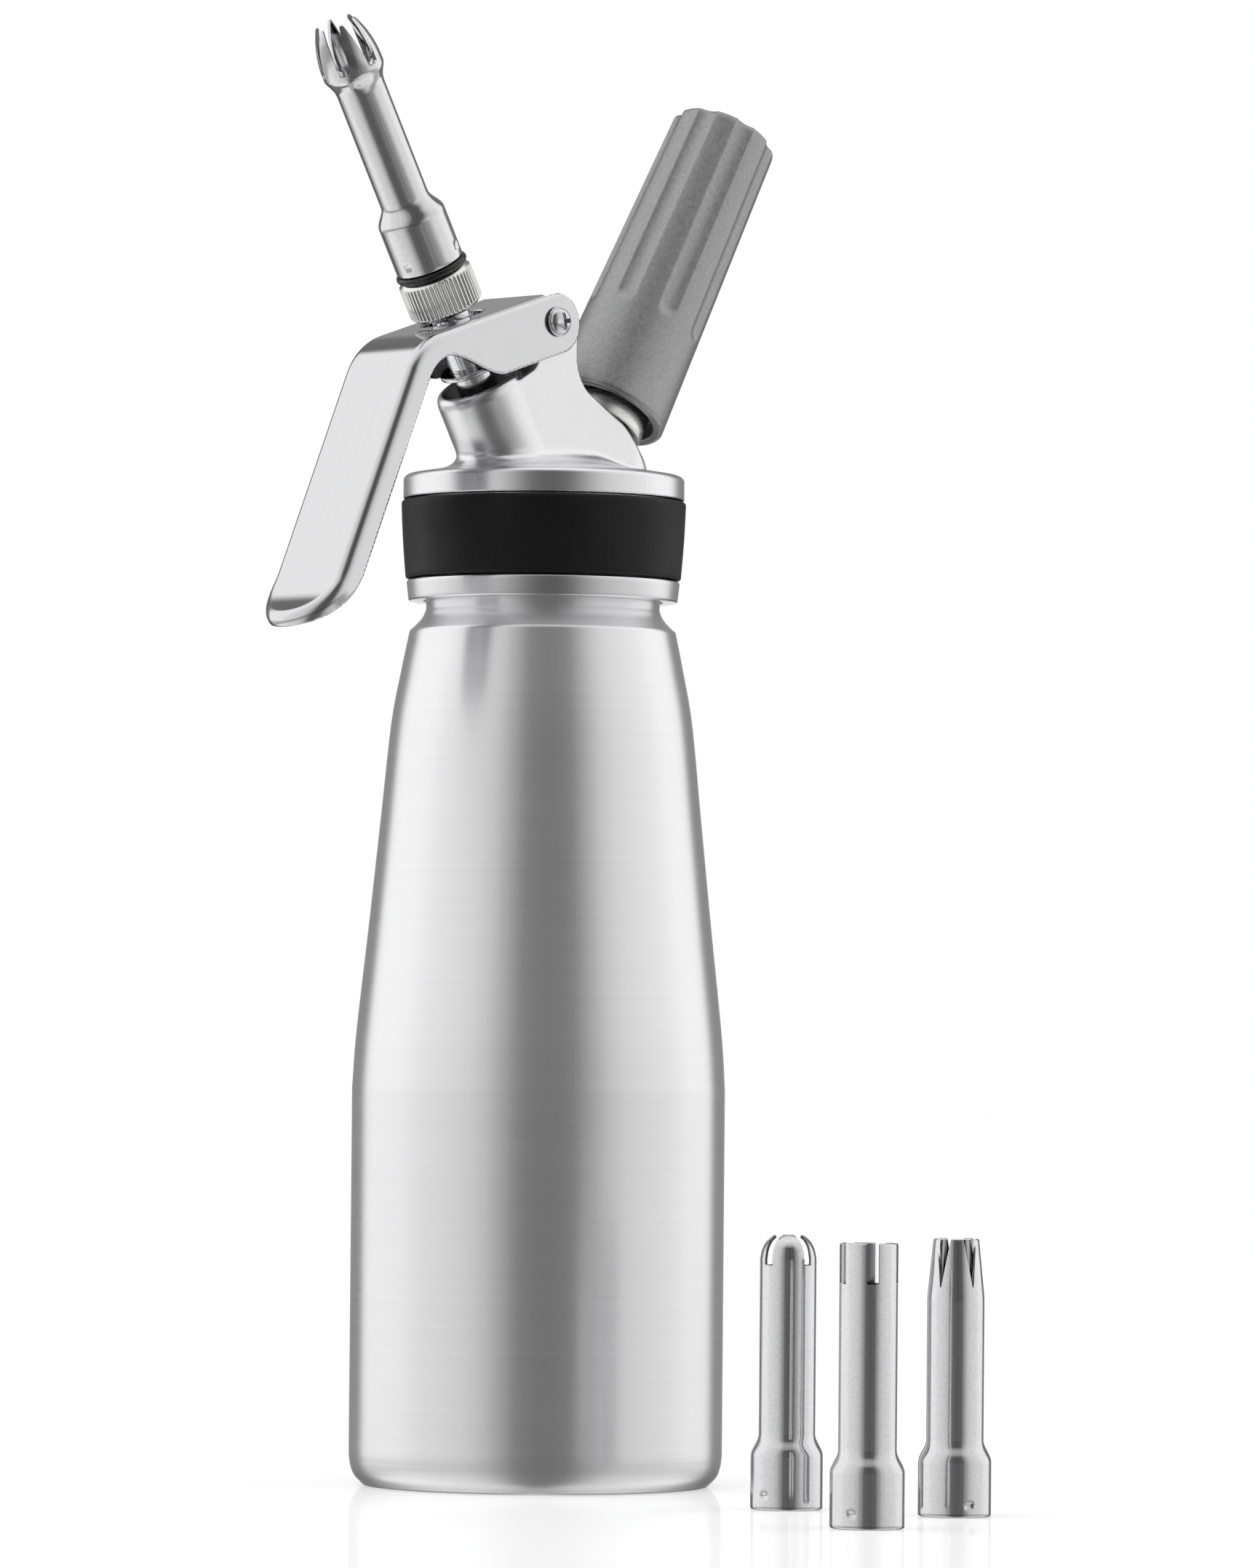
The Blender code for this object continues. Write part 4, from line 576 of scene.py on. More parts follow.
def lever_field(x, y, z):
    """Pressed channel, in mm: a bar with folded edges, less pocket, stem slot and pivot holes."""
    run, depth, flare = lever_path(x - PIVOT_X, z - PIVOT_Z)
    end = flare + FLARE_RADIUS * FLARE_SWEEP
    beyond = np.maximum(run - (end - 11.3), 0)
    wide = np.hypot(beyond, y)
    # the cheeks' depth, less along the handle and still less at the flare
    deep = 13.2 - 7.8 * smooth_step(run, 17.5, 33.5)
    deep = deep - 2.6 * np.clip((run - flare) / (end - flare), 0, 1)
    bar = common(-depth, wide - 11, 2.4)
    foot = np.where(run < 0, np.hypot(run, 6.6 - depth) - 6.6, depth - deep)
    bar = common(bar, foot, 0.3)
    pocket = common(1.8 - depth, wide - 9.7, 1.2)
    opening = np.minimum(pocket, np.maximum(run - 0.5, wide - 9.7))
    pocket = np.where(run < 6, opening, pocket)
    bar = common(bar, -pocket, 0.28)
    slot = np.hypot(np.maximum(np.abs(run - 19.62) - 2.9, 0), y) - 4.9
    bar = np.where(run < 36, common(bar, -slot, 0.3), bar)
    return common(bar, PIVOT_HOLE - np.hypot(run, depth - WEB_RISE), 0.25)


def make_lever_piece():
    """The skin of lever_field."""
    box = (-80, -11.6, 178), (1, 11.6, 257)
    cast_piece("lever_channel", lever_field, *box, "lever", "lever", "lever")


# ---------------------------------------------------------------- valve and adapter


def make_stem():
    """Turned: the tube on the valve's axis with its foot."""
    line = rounded(
        [
            (2.6, 8.5, 0.2),
            (6.6, 8.5, 0.3),
            (6.6, 10.5, 0.3),
            (4.3, 10.5, 0.2),
            (4.3, 62.5, 0.4),
            (2.6, 62.5, 0.3),
        ],
        5,
    )
    line = split_long(line, 0.8) * MM
    turn_piece("stem_tube", line, "polished", "valve", "valve_stem", 96, place=on_valve)


def make_washer_and_collar():
    """Turned: the flange above the spout's mouth and the collar that the lever presses."""
    low, high = (c / MM for c in COLLAR_SPAN)
    for name, node, low, high, outer, radius in (
        ("stem_flange", "stem_washer", 44.0, 45.1, 6.8, 0.35),
        ("press_collar", "thrust_collar", low, high, 6.5, 0.4),
    ):
        corners = [
            (4.4, low, 0.1),
            (outer, low, radius),
            (outer, high, radius),
            (4.4, high, 0.1),
        ]
        line = split_long(rounded(corners, 5), 0.4) * MM
        turn_piece(name, line, "polished", "valve", node, 128, place=on_valve)


def make_adapter():
    """Turned, with the radius less rib_depth (1 - |sin(24 a)|^0.8), and a helix on the boss."""
    line = rounded(
        [
            (4.6, 58.3, 0.15),
            (7.1, 58.3, 0.2),
            (8.0, 59.2, 0.3),
            (8.0, 66.3, 0.3),
            (7.1, 67.2, 0.2),
            (6.1, 67.2, 0.15),
            (6.1, 73.4, 0.4),
            (4.6, 73.4, 0.3),
        ],
        5,
    )
    helix = thread(1.2 * MM, 0.28 * MM, 68.9 * MM, 73.0 * MM, 0.6 * MM)
    ribs_low, ribs_high, fade = 59.0 * MM, 66.5 * MM, 0.5 * MM

    def wave(radius, height, angle):
        groove = bpy.context.scene.dispenser.rib_depth * (1 - np.abs(np.sin(angle * 24)) ** 0.8)
        above = np.clip((height - ribs_low) / fade, 0, 1)
        ends = above * np.clip((ribs_high - height) / fade, 0, 1)
        ribbed = radius - groove * ends * (radius > 7.4 * MM)
        boss = (radius > 5.9 * MM) & (height > 68 * MM)
        return np.where(boss, helix(radius - 0.26 * MM, height, angle), ribbed)

    line = split_long(line, 0.3) * MM
    turn_piece(
        "ribbed_nut", line, "ribbed", "adapter", "knurled_adapter", 480, wave, on_valve, sharp=55
    )


def make_ring():
    """Torus: a circle of radius 0.74 carried round at 7.15 mm."""
    line = arc((7.15, 68.1), 0.74, 0, 2 * math.pi, 24)[:-1] * MM
    turn_piece(
        "seal_ring", line, "rubber", "adapter_ring", "adapter_o_ring", 160, place=on_valve, sharp=0
    )


# ---------------------------------------------------------------- tips

# in mm
SKIRT_RADIUS = 7.4
TUBE_RADIUS = 5.8
FITTED_TUBE_RADIUS = 5.33
TIP_WALL = 0.7
TIP_TOP = 56.0


def tip_line(upper, tube):
    """Section of a pressed tip: skirt, shoulder and tube up to its end, then the wall inwards.

    The shoulder is a smooth step between the skirt's radius and the tube's.
    """
    share = np.linspace(0, 1, 22)
    across = SKIRT_RADIUS + (tube - SKIRT_RADIUS) * smooth_step(share, 0, 1)
    shoulder = np.column_stack((across, 10.9 + 4.4 * share))
    half = TIP_WALL / 2
    skirt = np.array([(SKIRT_RADIUS, half), (SKIRT_RADIUS, 10.7)])
    outside = split_long(np.concatenate((skirt, shoulder, upper)), 0.45, closed=False)
    inside = offset(outside, TIP_WALL)
    top = (outside[-1] + inside[-1]) / 2
    way = outside[-1] - outside[-2]
    way /= np.linalg.norm(way)
    side = np.array((way[1], -way[0]))
    turn = np.linspace(0, math.pi, 7)[1:-1, None]
    rim = top - way * 0.3 + half * (side * np.cos(turn) + way * np.sin(turn))
    foot_rim = arc((SKIRT_RADIUS - half, half), half, -math.pi, 0, 6)[1:-1]
    outside[-1] -= way * 0.3
    inside[-1] -= way * 0.3
    return np.concatenate((outside, rim, inside[::-1], foot_rim)) * MM


def slots(name, count, outline, inner, turn=0.0):
    """Cutters round a tip: the outline, in mm, carried outwards from inner to 9.5 mm."""
    outline = split_long(outline, 0.5) * MM
    cutters = []
    for i in range(count):
        angle = turn + 2 * math.pi * i / count
        out = (math.cos(angle), math.sin(angle), 0)
        across = (-math.sin(angle), math.cos(angle), 0)
        axes = (across, (0, 0, 1), out)
        cutters.append(prism(f"{name}_{i}", outline, inner * MM, 9.5 * MM, axes))
    return cutters


def make_tip(name, line, cutters, body, node, place, dents):
    """Turned, with dents near the foot, slotted, then put in its place.

    A dent at (degrees, height) takes dent_depth exp(-(u^4 + v^4)) off the radius, u and v being
    the ways round and up from its middle over its half width and half height.
    """

    def wave(radius, height, angle):
        for at, high, wide, tall in dents:
            turn = np.angle(np.exp(1j * (angle - math.radians(at))))
            aside = np.abs(turn * SKIRT_RADIUS * MM / (wide * MM))
            above = np.abs((height - high * MM) / (tall * MM))
            dent = np.exp(-(aside**4 + above**4))
            radius = radius - bpy.context.scene.dispenser.dent_depth * dent * (height < 11 * MM)
        return radius

    points = spun(line, 240, wave)
    tip = solid(name, points, quads(len(line), 240, True, True))
    carve(tip, cutters)
    move(tip, place)
    finish_piece(tip, "tip", body, node, sharp=42)


def on_adapter(points):
    """Local points with the tip's foot on the adapter."""
    return on_valve(points + np.array((0, 0, TIP_BASE)))


def standing(x, y):
    """Places local points upright on the floor at x, y."""
    return lambda points: points + np.array((x, y, 0.0))


def make_fitted_tip():
    """A tube that swells to a crown of six prongs, which lean in to their points."""
    crown = [(0, 0), (0.3, 0.14), (0.6, 0.50), (0.82, 0.82), (1, 1)]
    prong = [(0, 0), (0.22, 0.02), (0.45, 0.16), (0.68, 0.42), (0.86, 0.72), (1, 1)]
    swell = smooth_line(shares(crown, (FITTED_TUBE_RADIUS, 41.2), (6.7, 45.2)), 6)
    points = smooth_line(shares(prong, (6.7, 45.2), (4.4, 56.4)), 6)
    line = tip_line(np.concatenate((swell, points[1:])), FITTED_TUBE_RADIUS)
    outline = rounded([(-1.3, 46.2, 0.6), (1.3, 46.2, 0.6), (2.0, 58.4, 0), (-2.0, 58.4, 0)], 8)
    cutters = slots("prong_slot", 6, outline, 2.2, math.pi / 6)
    dents = [(-171, 2.5, 0.9, 0.7), (-66, 2.7, 0.9, 0.7)]
    make_tip("fitted_tip", line, cutters, "tip", "tulip_tip", on_adapter, dents)


def make_round_tip():
    """A tube with a domed end and four slots."""
    dome = [(0, 0), (0.40, 0.14), (0.70, 0.40), (0.90, 0.72), (1, 1)]
    upper = smooth_line(shares(dome, (TUBE_RADIUS, 51.2), (2.85, TIP_TOP)), 7)
    line = tip_line(upper, TUBE_RADIUS)
    outline = rounded([(-1.1, 49.8, 0.25), (1.1, 49.8, 0.25), (1.1, 58, 0), (-1.1, 58, 0)], 4)
    cutters = slots("dome_slot", 4, outline, 1.4)
    place, dents = standing(-0.0189, -0.0928), [(-175, 2.9, 0.8, 0.5)]
    make_tip("round_tip_shell", line, cutters, "round_tip", "spare_tip_round", place, dents)


def make_straight_tip():
    """A straight tube with five square slots, turned as in the photo."""
    line = tip_line(np.array([(TUBE_RADIUS, 50.0), (TUBE_RADIUS, TIP_TOP)]), TUBE_RADIUS)
    outline = rounded([(-1.2, 48.0, 0.2), (1.2, 48.0, 0.2), (1.2, 58, 0), (-1.2, 58, 0)], 4)
    cutters = slots("square_slot", 5, outline, 2.2, math.radians(16))
    place, dents = standing(-0.0524, -0.1470), [(-162, 2.9, 0.8, 0.5)]
    name = "straight_tip_shell"
    make_tip(name, line, cutters, "straight_tip", "spare_tip_straight", place, dents)


def make_star_tip():
    """A tube that tapers to its end, with five V notches, turned as in the photo."""
    upper = np.array([(TUBE_RADIUS, 43.4), (5.75, 44.6), (4.62, TIP_TOP)])
    line = tip_line(split_long(upper, 0.5, closed=False), TUBE_RADIUS)
    notch = [(0, 45.3, 0.15), (1.65, 56.3, 0), (1.9, 58, 0), (-1.9, 58, 0), (-1.65, 56.3, 0)]
    cutters = slots("star_notch", 5, rounded(notch, 5), 2.0, math.radians(45))
    place, dents = standing(-0.0086, -0.1300), [(-113, 2.4, 0.8, 0.5)]
    make_tip("star_tip_shell", line, cutters, "star_tip", "spare_tip_star", place, dents)


# ---------------------------------------------------------------- pivot and charger side


def across_lever(points, side=-1):
    """Local +Z turned to the lever's side, at the pivot."""
    x, y, z = points[..., 0], points[..., 1], points[..., 2]
    return np.stack((x, side * z, y * -side), -1) + PIVOT


def make_screw():
    """Turned: a domed head on a thin flange, with two crossing slots cut into it."""
    base = 11.75
    shank = rounded(
        [
            (0, -13.5, 0),
            (2.0, -13.5, 0.3),
            (2.0, 11.3, 0.1),
            (3.25, 11.3, 0.1),
            (3.25, base, 0.15),
            (2.98, base, 0),
        ],
        5,
    )
    turn = np.linspace(0, math.pi / 2, 24)
    dome = np.column_stack((2.95 * np.cos(turn), base + 1.57 * np.sin(turn)))
    dome[-1, 0] = 0
    points = spun(split_long(np.concatenate((shank, dome)), 0.4) * MM, 120)
    screw = solid("pivot_screw_head", points, quads(points.shape[0], 120, False, True))
    bar = [(-1.85, -0.48, 0.25), (1.85, -0.48, 0.25), (1.85, 0.48, 0.25), (-1.85, 0.48, 0.25)]
    bar = rounded(bar, 4) * MM
    cosine, sine = math.cos(math.radians(8)), math.sin(math.radians(8))
    for name, side in (("cross_a", (cosine, sine, 0)), ("cross_b", (-sine, cosine, 0))):
        axes = (side, np.cross((0, 0, 1), side), (0, 0, 1))
        carve(screw, [prism(name, bar, 12.0 * MM, 14.5 * MM, axes)])
    move(screw, across_lever)
    finish_piece(screw, "screw", "head", "pivot_screw", sharp=35)


def make_nut():
    """Turned with the radius 2.944 / cos(a within a sixth of a turn), and a cone at each face."""
    bore, low, high = 2.3, 11.3, 13.5
    line = split_long(np.array([(bore, low), (3.4, low), (3.4, high), (bore, high)]), 0.1)

    def wave(radius, height, angle):
        sixth = np.abs(np.mod(angle, math.pi / 3) - math.pi / 6)
        hexagon = 2.944 * MM / np.cos(sixth)
        cone = (3.05 + 1.6 * np.minimum(height / MM - low, high - height / MM)) * MM
        outer = np.minimum(hexagon, cone)
        share = np.clip((radius / MM - bore) / 1.1, 0, 1)
        return bore * MM + share * (outer - bore * MM)

    def place(points):
        return across_lever(points, 1)

    turn_piece("pivot_hex_nut", line * MM, "screw", "head", "pivot_nut", 192, wave, place, 25)


def make_port():
    """Turned: the machined ring with its chamfer, thread and stepped throat."""
    line = rounded(
        [
            (8.8, 44.0, 0.15),
            (9.6, 43.2, 0.2),
            (9.6, 32.3, 0.3),
            (6.0, 32.3, 0.1),
            (6.0, 24.3, 0.3),
            (1.5, 24.3, 0.1),
            (1.5, 31.3, 0.1),
            (3.3, 31.3, 0.1),
            (3.3, 34.6, 0.1),
            (5.0, 34.6, 0.1),
            (5.0, 41.0, 0.2),
            (6.5, 44.0, 0.2),
        ],
        4,
    )
    ridge = thread(1.25 * MM, -0.22 * MM, 37.6 * MM, 43.0 * MM, 0.8 * MM)

    def wave(radius, height, angle):
        return np.where(radius > 9.5 * MM, ridge(radius, height, angle), radius)

    line = split_long(line, 0.25) * MM
    turn_piece("port_ring", line, "machined", "head", "charger_port", 192, wave, on_charger)


def make_holder_piece():
    """Turned with eight capsule flutes.

    A flute is a cylinder of radius R sunk by its depth: at t round from its middle and e below
    its foot, it leaves the radius sleeve + R - depth - sqrt(R^2 - t^2 - e^2). Its edges are
    rounded by a soft minimum.
    """
    foot, top, outer_foot, outer_top = 36, 109, 13.4, 11.7
    line = rounded(
        [
            (0, top, 0),
            (outer_top, top, 1.1),
            (outer_foot, foot, 0.9),
            (11.2, foot, 0.5),
            (11.2, 40.5, 0.2),
            (9.9, 40.5, 0.2),
            (9.9, 45.5, 0.2),
            (9.1, 45.5, 0.2),
            (9.1, 102.2, 0.5),
            (0, 102.2, 0),
        ],
        7,
    )
    step = math.pi / 4
    half, length, soft = 2.2, 51, 0.16

    def wave(radius, height, angle):
        sleeve = outer_foot - 1.7 * (height / MM - foot) / 73
        depth = bpy.context.scene.dispenser.flute_depth / MM
        curve = (half**2 + depth**2) / (2 * depth)
        aside = (np.mod(angle, step) - step / 2) * sleeve
        below = np.maximum(top - length + half - height / MM, 0)
        inside = np.sqrt(np.maximum(curve**2 - aside**2 - below**2, 0))
        groove = np.where(inside > 0, sleeve + curve - depth - inside, sleeve + 9)
        share = np.clip(0.5 + 0.5 * (sleeve - groove) / soft, 0, 1)
        cut = np.maximum((sleeve - groove) * share + soft * share * (1 - share) * 0.5, 0)
        return radius - cut * MM * (radius > 10.4 * MM) * (height > 41 * MM)

    line = split_long(line, 0.85) * MM
    turn_piece(
        "fluted_holder", line, "holder", "holder", "charger_holder", 384, wave, on_charger, 60
    )


# ---------------------------------------------------------------- finishes


def add(tree, kind, inputs=(), **settings):
    """A shader node; an input given as a socket is linked, anything else is its value."""
    made = tree.nodes.new(kind)
    for name, value in settings.items():
        setattr(made, name, value)
    for name, value in dict(inputs).items():
        if isinstance(value, bpy.types.NodeSocket):
            tree.links.new(value, made.inputs[name])
        else:
            made.inputs[name].default_value = value
    return made


def grain(tree, scale, stretch=(1, 1, 1), detail=3.0, turn=(0, 0, 0)):
    """Noise on Object coordinates, from 0 to 1; scale is per metre."""
    where = add(tree, "ShaderNodeTexCoord").outputs["Object"]
    settings = {"Vector": where, "Scale": stretch, "Rotation": turn}
    where = add(tree, "ShaderNodeMapping", settings).outputs[0]
    made = add(tree, "ShaderNodeTexNoise", {"Vector": where, "Scale": scale, "Detail": detail})
    return made.outputs["Fac"]


def maths(tree, operation, first, second):
    """The output of one sum, product or the like."""
    return add(tree, "ShaderNodeMath", {0: first, 1: second}, operation=operation).outputs[0]


def spread(tree, value, low, high, start=0.3, end=0.7):
    """The value from start to end, taken to low to high."""
    settings = {"Value": value, "From Min": start, "From Max": end, "To Min": low, "To Max": high}
    return add(tree, "ShaderNodeMapRange", settings).outputs[0]


def blended(tree, share, first, second):
    """Between two colours."""
    made = add(tree, "ShaderNodeMix", data_type="RGBA")
    tree.links.new(share, made.inputs["Factor"])
    made.inputs[6].default_value = (*first, 1)
    made.inputs[7].default_value = (*second, 1)
    return made.outputs[2]


def mixed(tree, share, first, second):
    """Between a socket's value and a number."""
    made = add(tree, "ShaderNodeMix", data_type="FLOAT")
    tree.links.new(share, made.inputs["Factor"])
    tree.links.new(first, made.inputs[2])
    made.inputs[3].default_value = second
    return made.outputs[0]


def bumped(tree, height, depth, strength):
    """Normal of a relief of this depth in metres."""
    settings = {"Height": height, "Distance": depth, "Strength": strength}
    return add(tree, "ShaderNodeBump", settings).outputs["Normal"]


def shader_of(name, metallic, **constants):
    """A new material with its tree and its shader, whose sockets get the constants."""
    material = bpy.data.materials.new(name)
    material.use_nodes = True
    shader = material.node_tree.nodes["Principled BSDF"]
    shader.inputs["Metallic"].default_value = metallic
    for key, value in constants.items():
        shader.inputs[key.replace("_", " ")].default_value = value
    return material, material.node_tree, shader


def connect(tree, shader, **sockets):
    """Link outputs to the shader's sockets of these names."""
    for name, socket in sockets.items():
        tree.links.new(socket, shader.inputs[name.replace("_", " ")])


def tone(colour, share):
    """The colour made darker or lighter."""
    return tuple(channel * share for channel in colour)


def metal(name, colour, rough, scale, stretch, depth, worn=0.04, turn=(0, 0, 0), low=0.93):
    """Metal with fine lines or grain of the given stretch, and soft wear of the polish."""
    material, tree, shader = shader_of(name, 1.0)
    fine = grain(tree, scale, stretch, 4, turn)
    soft = grain(tree, 45, (1, 1, 1), 3)
    shine = maths(tree, "ADD", spread(tree, fine, *rough), spread(tree, soft, -worn, worn))
    shade = blended(tree, spread(tree, fine, 0, 1), tone(colour, low), colour)
    connect(tree, shader, Base_Color=shade, Roughness=shine)
    connect(tree, shader, Normal=bumped(tree, fine, depth, 0.6))
    return material


def bottle_finish():
    """Satin aluminium with fine lines round the axis, which draw highlights out along it."""
    look = bpy.context.scene.dispenser
    drawn_out = {"Anisotropic": 0.75, "Anisotropic_Rotation": 0.25}
    material, tree, shader = shader_of("spun_aluminium", 0.87, **drawn_out)
    around = add(tree, "ShaderNodeTangent", direction_type="RADIAL", axis="Z").outputs[0]
    lines = grain(tree, 1.0, (14, 14, 4200), 2)
    broad = grain(tree, 1.0, (5, 5, 900), 3)
    soft = grain(tree, 22, (1, 1, 1), 3)
    both = spread(tree, maths(tree, "ADD", lines, broad), 0, 1, 0.7, 1.3)
    middle, swing = look.bottle_roughness, 0.02
    shine = spread(tree, both, middle - swing, middle + swing, 0, 1)
    shine = maths(tree, "ADD", shine, spread(tree, soft, -0.015, 0.015))
    shade = blended(tree, both, tone(look.aluminium_colour, 0.955), look.aluminium_colour)
    connect(tree, shader, Base_Color=shade, Roughness=shine, Tangent=around)
    connect(tree, shader, Normal=bumped(tree, both, 0.0000012, 0.4))
    return material


def head_finish():
    """Bead-blasted aluminium: small even pits, slightly uneven shine."""
    material, tree, shader = shader_of("blasted_aluminium", 1.0)
    pits = grain(tree, 2600, (1, 1, 1), 2)
    cloud = grain(tree, 90, (1, 1, 1), 4)
    colour = bpy.context.scene.dispenser.aluminium_colour
    shade = blended(tree, spread(tree, pits, 0, 1), tone(colour, 0.89), tone(colour, 0.96))
    connect(tree, shader, Base_Color=shade, Roughness=spread(tree, cloud, 0.26, 0.31))
    connect(tree, shader, Normal=bumped(tree, pits, 0.000006, 0.4))
    return material


def band_finish():
    """Black moulded rubber with a fine grain."""
    colour = bpy.context.scene.dispenser.grip_colour
    material, tree, shader = shader_of("moulded_rubber", 0.0, Specular_IOR_Level=0.25)
    pores = grain(tree, 2100, (1, 1, 1), 3)
    cloud = grain(tree, 70, (1, 1, 1), 3)
    shade = blended(tree, spread(tree, pores, 0, 1), tone(colour, 0.7), tone(colour, 1.3))
    connect(tree, shader, Base_Color=shade, Roughness=spread(tree, cloud, 0.42, 0.55))
    connect(tree, shader, Normal=bumped(tree, pores, 0.00001, 0.5))
    return material


def tip_finish():
    """Drawn steel: fine lines up the tube and a light speckle."""
    colour = bpy.context.scene.dispenser.steel_colour
    material, tree, shader = shader_of("drawn_steel", 1.0)
    lines = grain(tree, 1.0, (1900, 1900, 70), 3)
    speckle = grain(tree, 1500, (1, 1, 1), 2)
    shine = spread(tree, lines, 0.07, 0.11)
    shine = maths(tree, "ADD", shine, spread(tree, speckle, -0.005, 0.02, 0.5, 0.75))
    spots = spread(tree, speckle, 0, 1, 0.4, 0.75)
    shade = blended(tree, spots, tone(colour, 0.93), tone(colour, 0.85))
    connect(tree, shader, Base_Color=shade, Roughness=shine)
    relief = maths(tree, "ADD", lines, speckle)
    connect(tree, shader, Normal=bumped(tree, relief, 0.0000005, 0.5))
    return material


def rubber_finish():
    """Smooth black sealing rubber."""
    material, tree, shader = shader_of("sealing_rubber", 0.0, Specular_IOR_Level=0.5)
    cloud = grain(tree, 700, (1, 1, 1), 3)
    colour = bpy.context.scene.dispenser.rubber_colour
    shade = blended(tree, cloud, tone(colour, 0.8), tone(colour, 1.2))
    connect(tree, shader, Base_Color=shade, Roughness=spread(tree, cloud, 0.20, 0.32))
    connect(tree, shader, Normal=bumped(tree, cloud, 0.00001, 0.4))
    return material


def holder_finish():
    """Grey sintered look: pits and bright specks of two sizes."""
    colour = bpy.context.scene.dispenser.holder_colour
    material, tree, shader = shader_of("grainy_grey_metal", 0.9)
    pits = grain(tree, 2300, (1, 1, 1), 3)
    patches = grain(tree, 1100, (1, 1, 1), 4)
    both = spread(tree, maths(tree, "ADD", pits, patches), 0, 1, 0.72, 1.28)
    shade = blended(tree, both, tone(colour, 0.84), tone(colour, 1.12))
    connect(tree, shader, Base_Color=shade, Roughness=spread(tree, patches, 0.36, 0.46))
    connect(tree, shader, Normal=bumped(tree, both, 0.000012, 0.5))
    return material


def silicone_finish():
    """Milky translucent sealing ring."""
    milky = {"Subsurface_Weight": 0.3, "Subsurface_Scale": 0.001}
    material, tree, shader = shader_of("milky_silicone", 0.0, **milky)
    cloud = grain(tree, 300, (1, 1, 1), 3)
    shade = blended(tree, cloud, (0.60, 0.58, 0.54), (0.68, 0.66, 0.62))
    connect(tree, shader, Base_Color=shade, Roughness=spread(tree, cloud, 0.40, 0.52))
    return material


def metals():
    """What metal is called with for each plain metal; the lever's lines run along its handle."""
    steel = bpy.context.scene.dispenser.steel_colour
    plated, along, tilted = (0.80, 0.80, 0.79), (60, 2600, 60), (0, -TILT, 0)
    even = (1, 1, 1)
    wire, cartridge, screw = (0.55, 0.56, 0.58), (0.62, 0.63, 0.65), (0.66, 0.66, 0.67)
    bright, satin, dull = (0.08, 0.13), (0.12, 0.18), (0.20, 0.34)
    lever = "pressed_steel", tone(steel, 0.90), (0.09, 0.13), 1.0, along, 0.00000025, 0.02
    port = "machined_steel", plated, (0.16, 0.34), 1.0, (40, 40, 3000), 0.00001, 0.06, tilted
    charger = "plated_cartridge", cartridge, (0.22, 0.34), 1.0, (60, 60, 1800), 0.000004
    return {
        "lever": (*lever, (0, 0, 0), 0.97),
        "polished": ("turned_steel", steel, bright, 1.0, (60, 60, 1500), 0.000001, 0.02),
        "ribbed": ("plated_brass", plated, satin, 900, even, 0.000001),
        "machined": port,
        "screw": ("plated_screw", screw, (0.10, 0.18), 1800, even, 0.000001),
        "spring": ("spring_wire", wire, dull, 1600, even, 0.000004),
        "charger": (*charger, 0.04, tilted),
    }


FINISHERS = {
    "bottle": bottle_finish,
    "head": head_finish,
    "band": band_finish,
    "tip": tip_finish,
    "rubber": rubber_finish,
    "holder": holder_finish,
    "silicone": silicone_finish,
}
MADE = {}


def made_finish(name):
    """The material of this name, made when it is first asked for."""
    if name not in MADE:
        MADE[name] = FINISHERS[name]() if name in FINISHERS else metal(*metals()[name])
    return MADE[name]


INNER_FINISHES = {
    "head_gasket": "silicone",
    "valve_gasket": "rubber",
    "gland_seal": "rubber",
    "valve_spring": "spring",
    "spring_retainer": "polished",
    "piercing_pin": "polished",
    "port_gasket": "rubber",
    "check_valve": "rubber",
    "charger": "charger",
}


def finish_inner_nodes():
    """Better finishes on the pieces inside, which keep their CAD shapes."""
    for node, finish in INNER_FINISHES.items():
        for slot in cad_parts[node].material_slots:
            slot.material = made_finish(finish)


# ---------------------------------------------------------------- studio


def graded(tree, share, stops):
    """Levels at (share, level) stops, eased between them; the first two are the ends."""
    ramp = add(tree, "ShaderNodeValToRGB", {"Fac": share})
    ramp.color_ramp.interpolation = "EASE"
    elements = ramp.color_ramp.elements
    for (at, level), element in zip(stops[:2], elements):
        element.position, element.color = at, (level, level, level, 1)
    for at, level in stops[2:]:
        elements.new(at).color = (level, level, level, 1)
    return ramp.outputs["Color"]


# (height of the direction from -1 to 1, as a share; share of light there)
LIGHT_BELOW = [(0, 0.95), (1, 1), (0.25, 0.95), (0.33, 0.45), (0.39, 0.50), (0.488, 1)]
# (degrees from the dark card before the object, level)
LIGHT_FROM_CARD = [
    (0, 0.10),
    (180, 1.10),
    (17, 0.13),
    (28, 0.38),
    (41, 0.66),
    (54, 0.80),
    (76, 0.90),
    (104, 1.08),
]
# (degrees from the camera, share)
LIGHT_FROM_CAMERA = [(0, 1.0), (180, 0.30), (130, 1.0), (142, 0.16), (163, 0.18), (172, 0.28)]


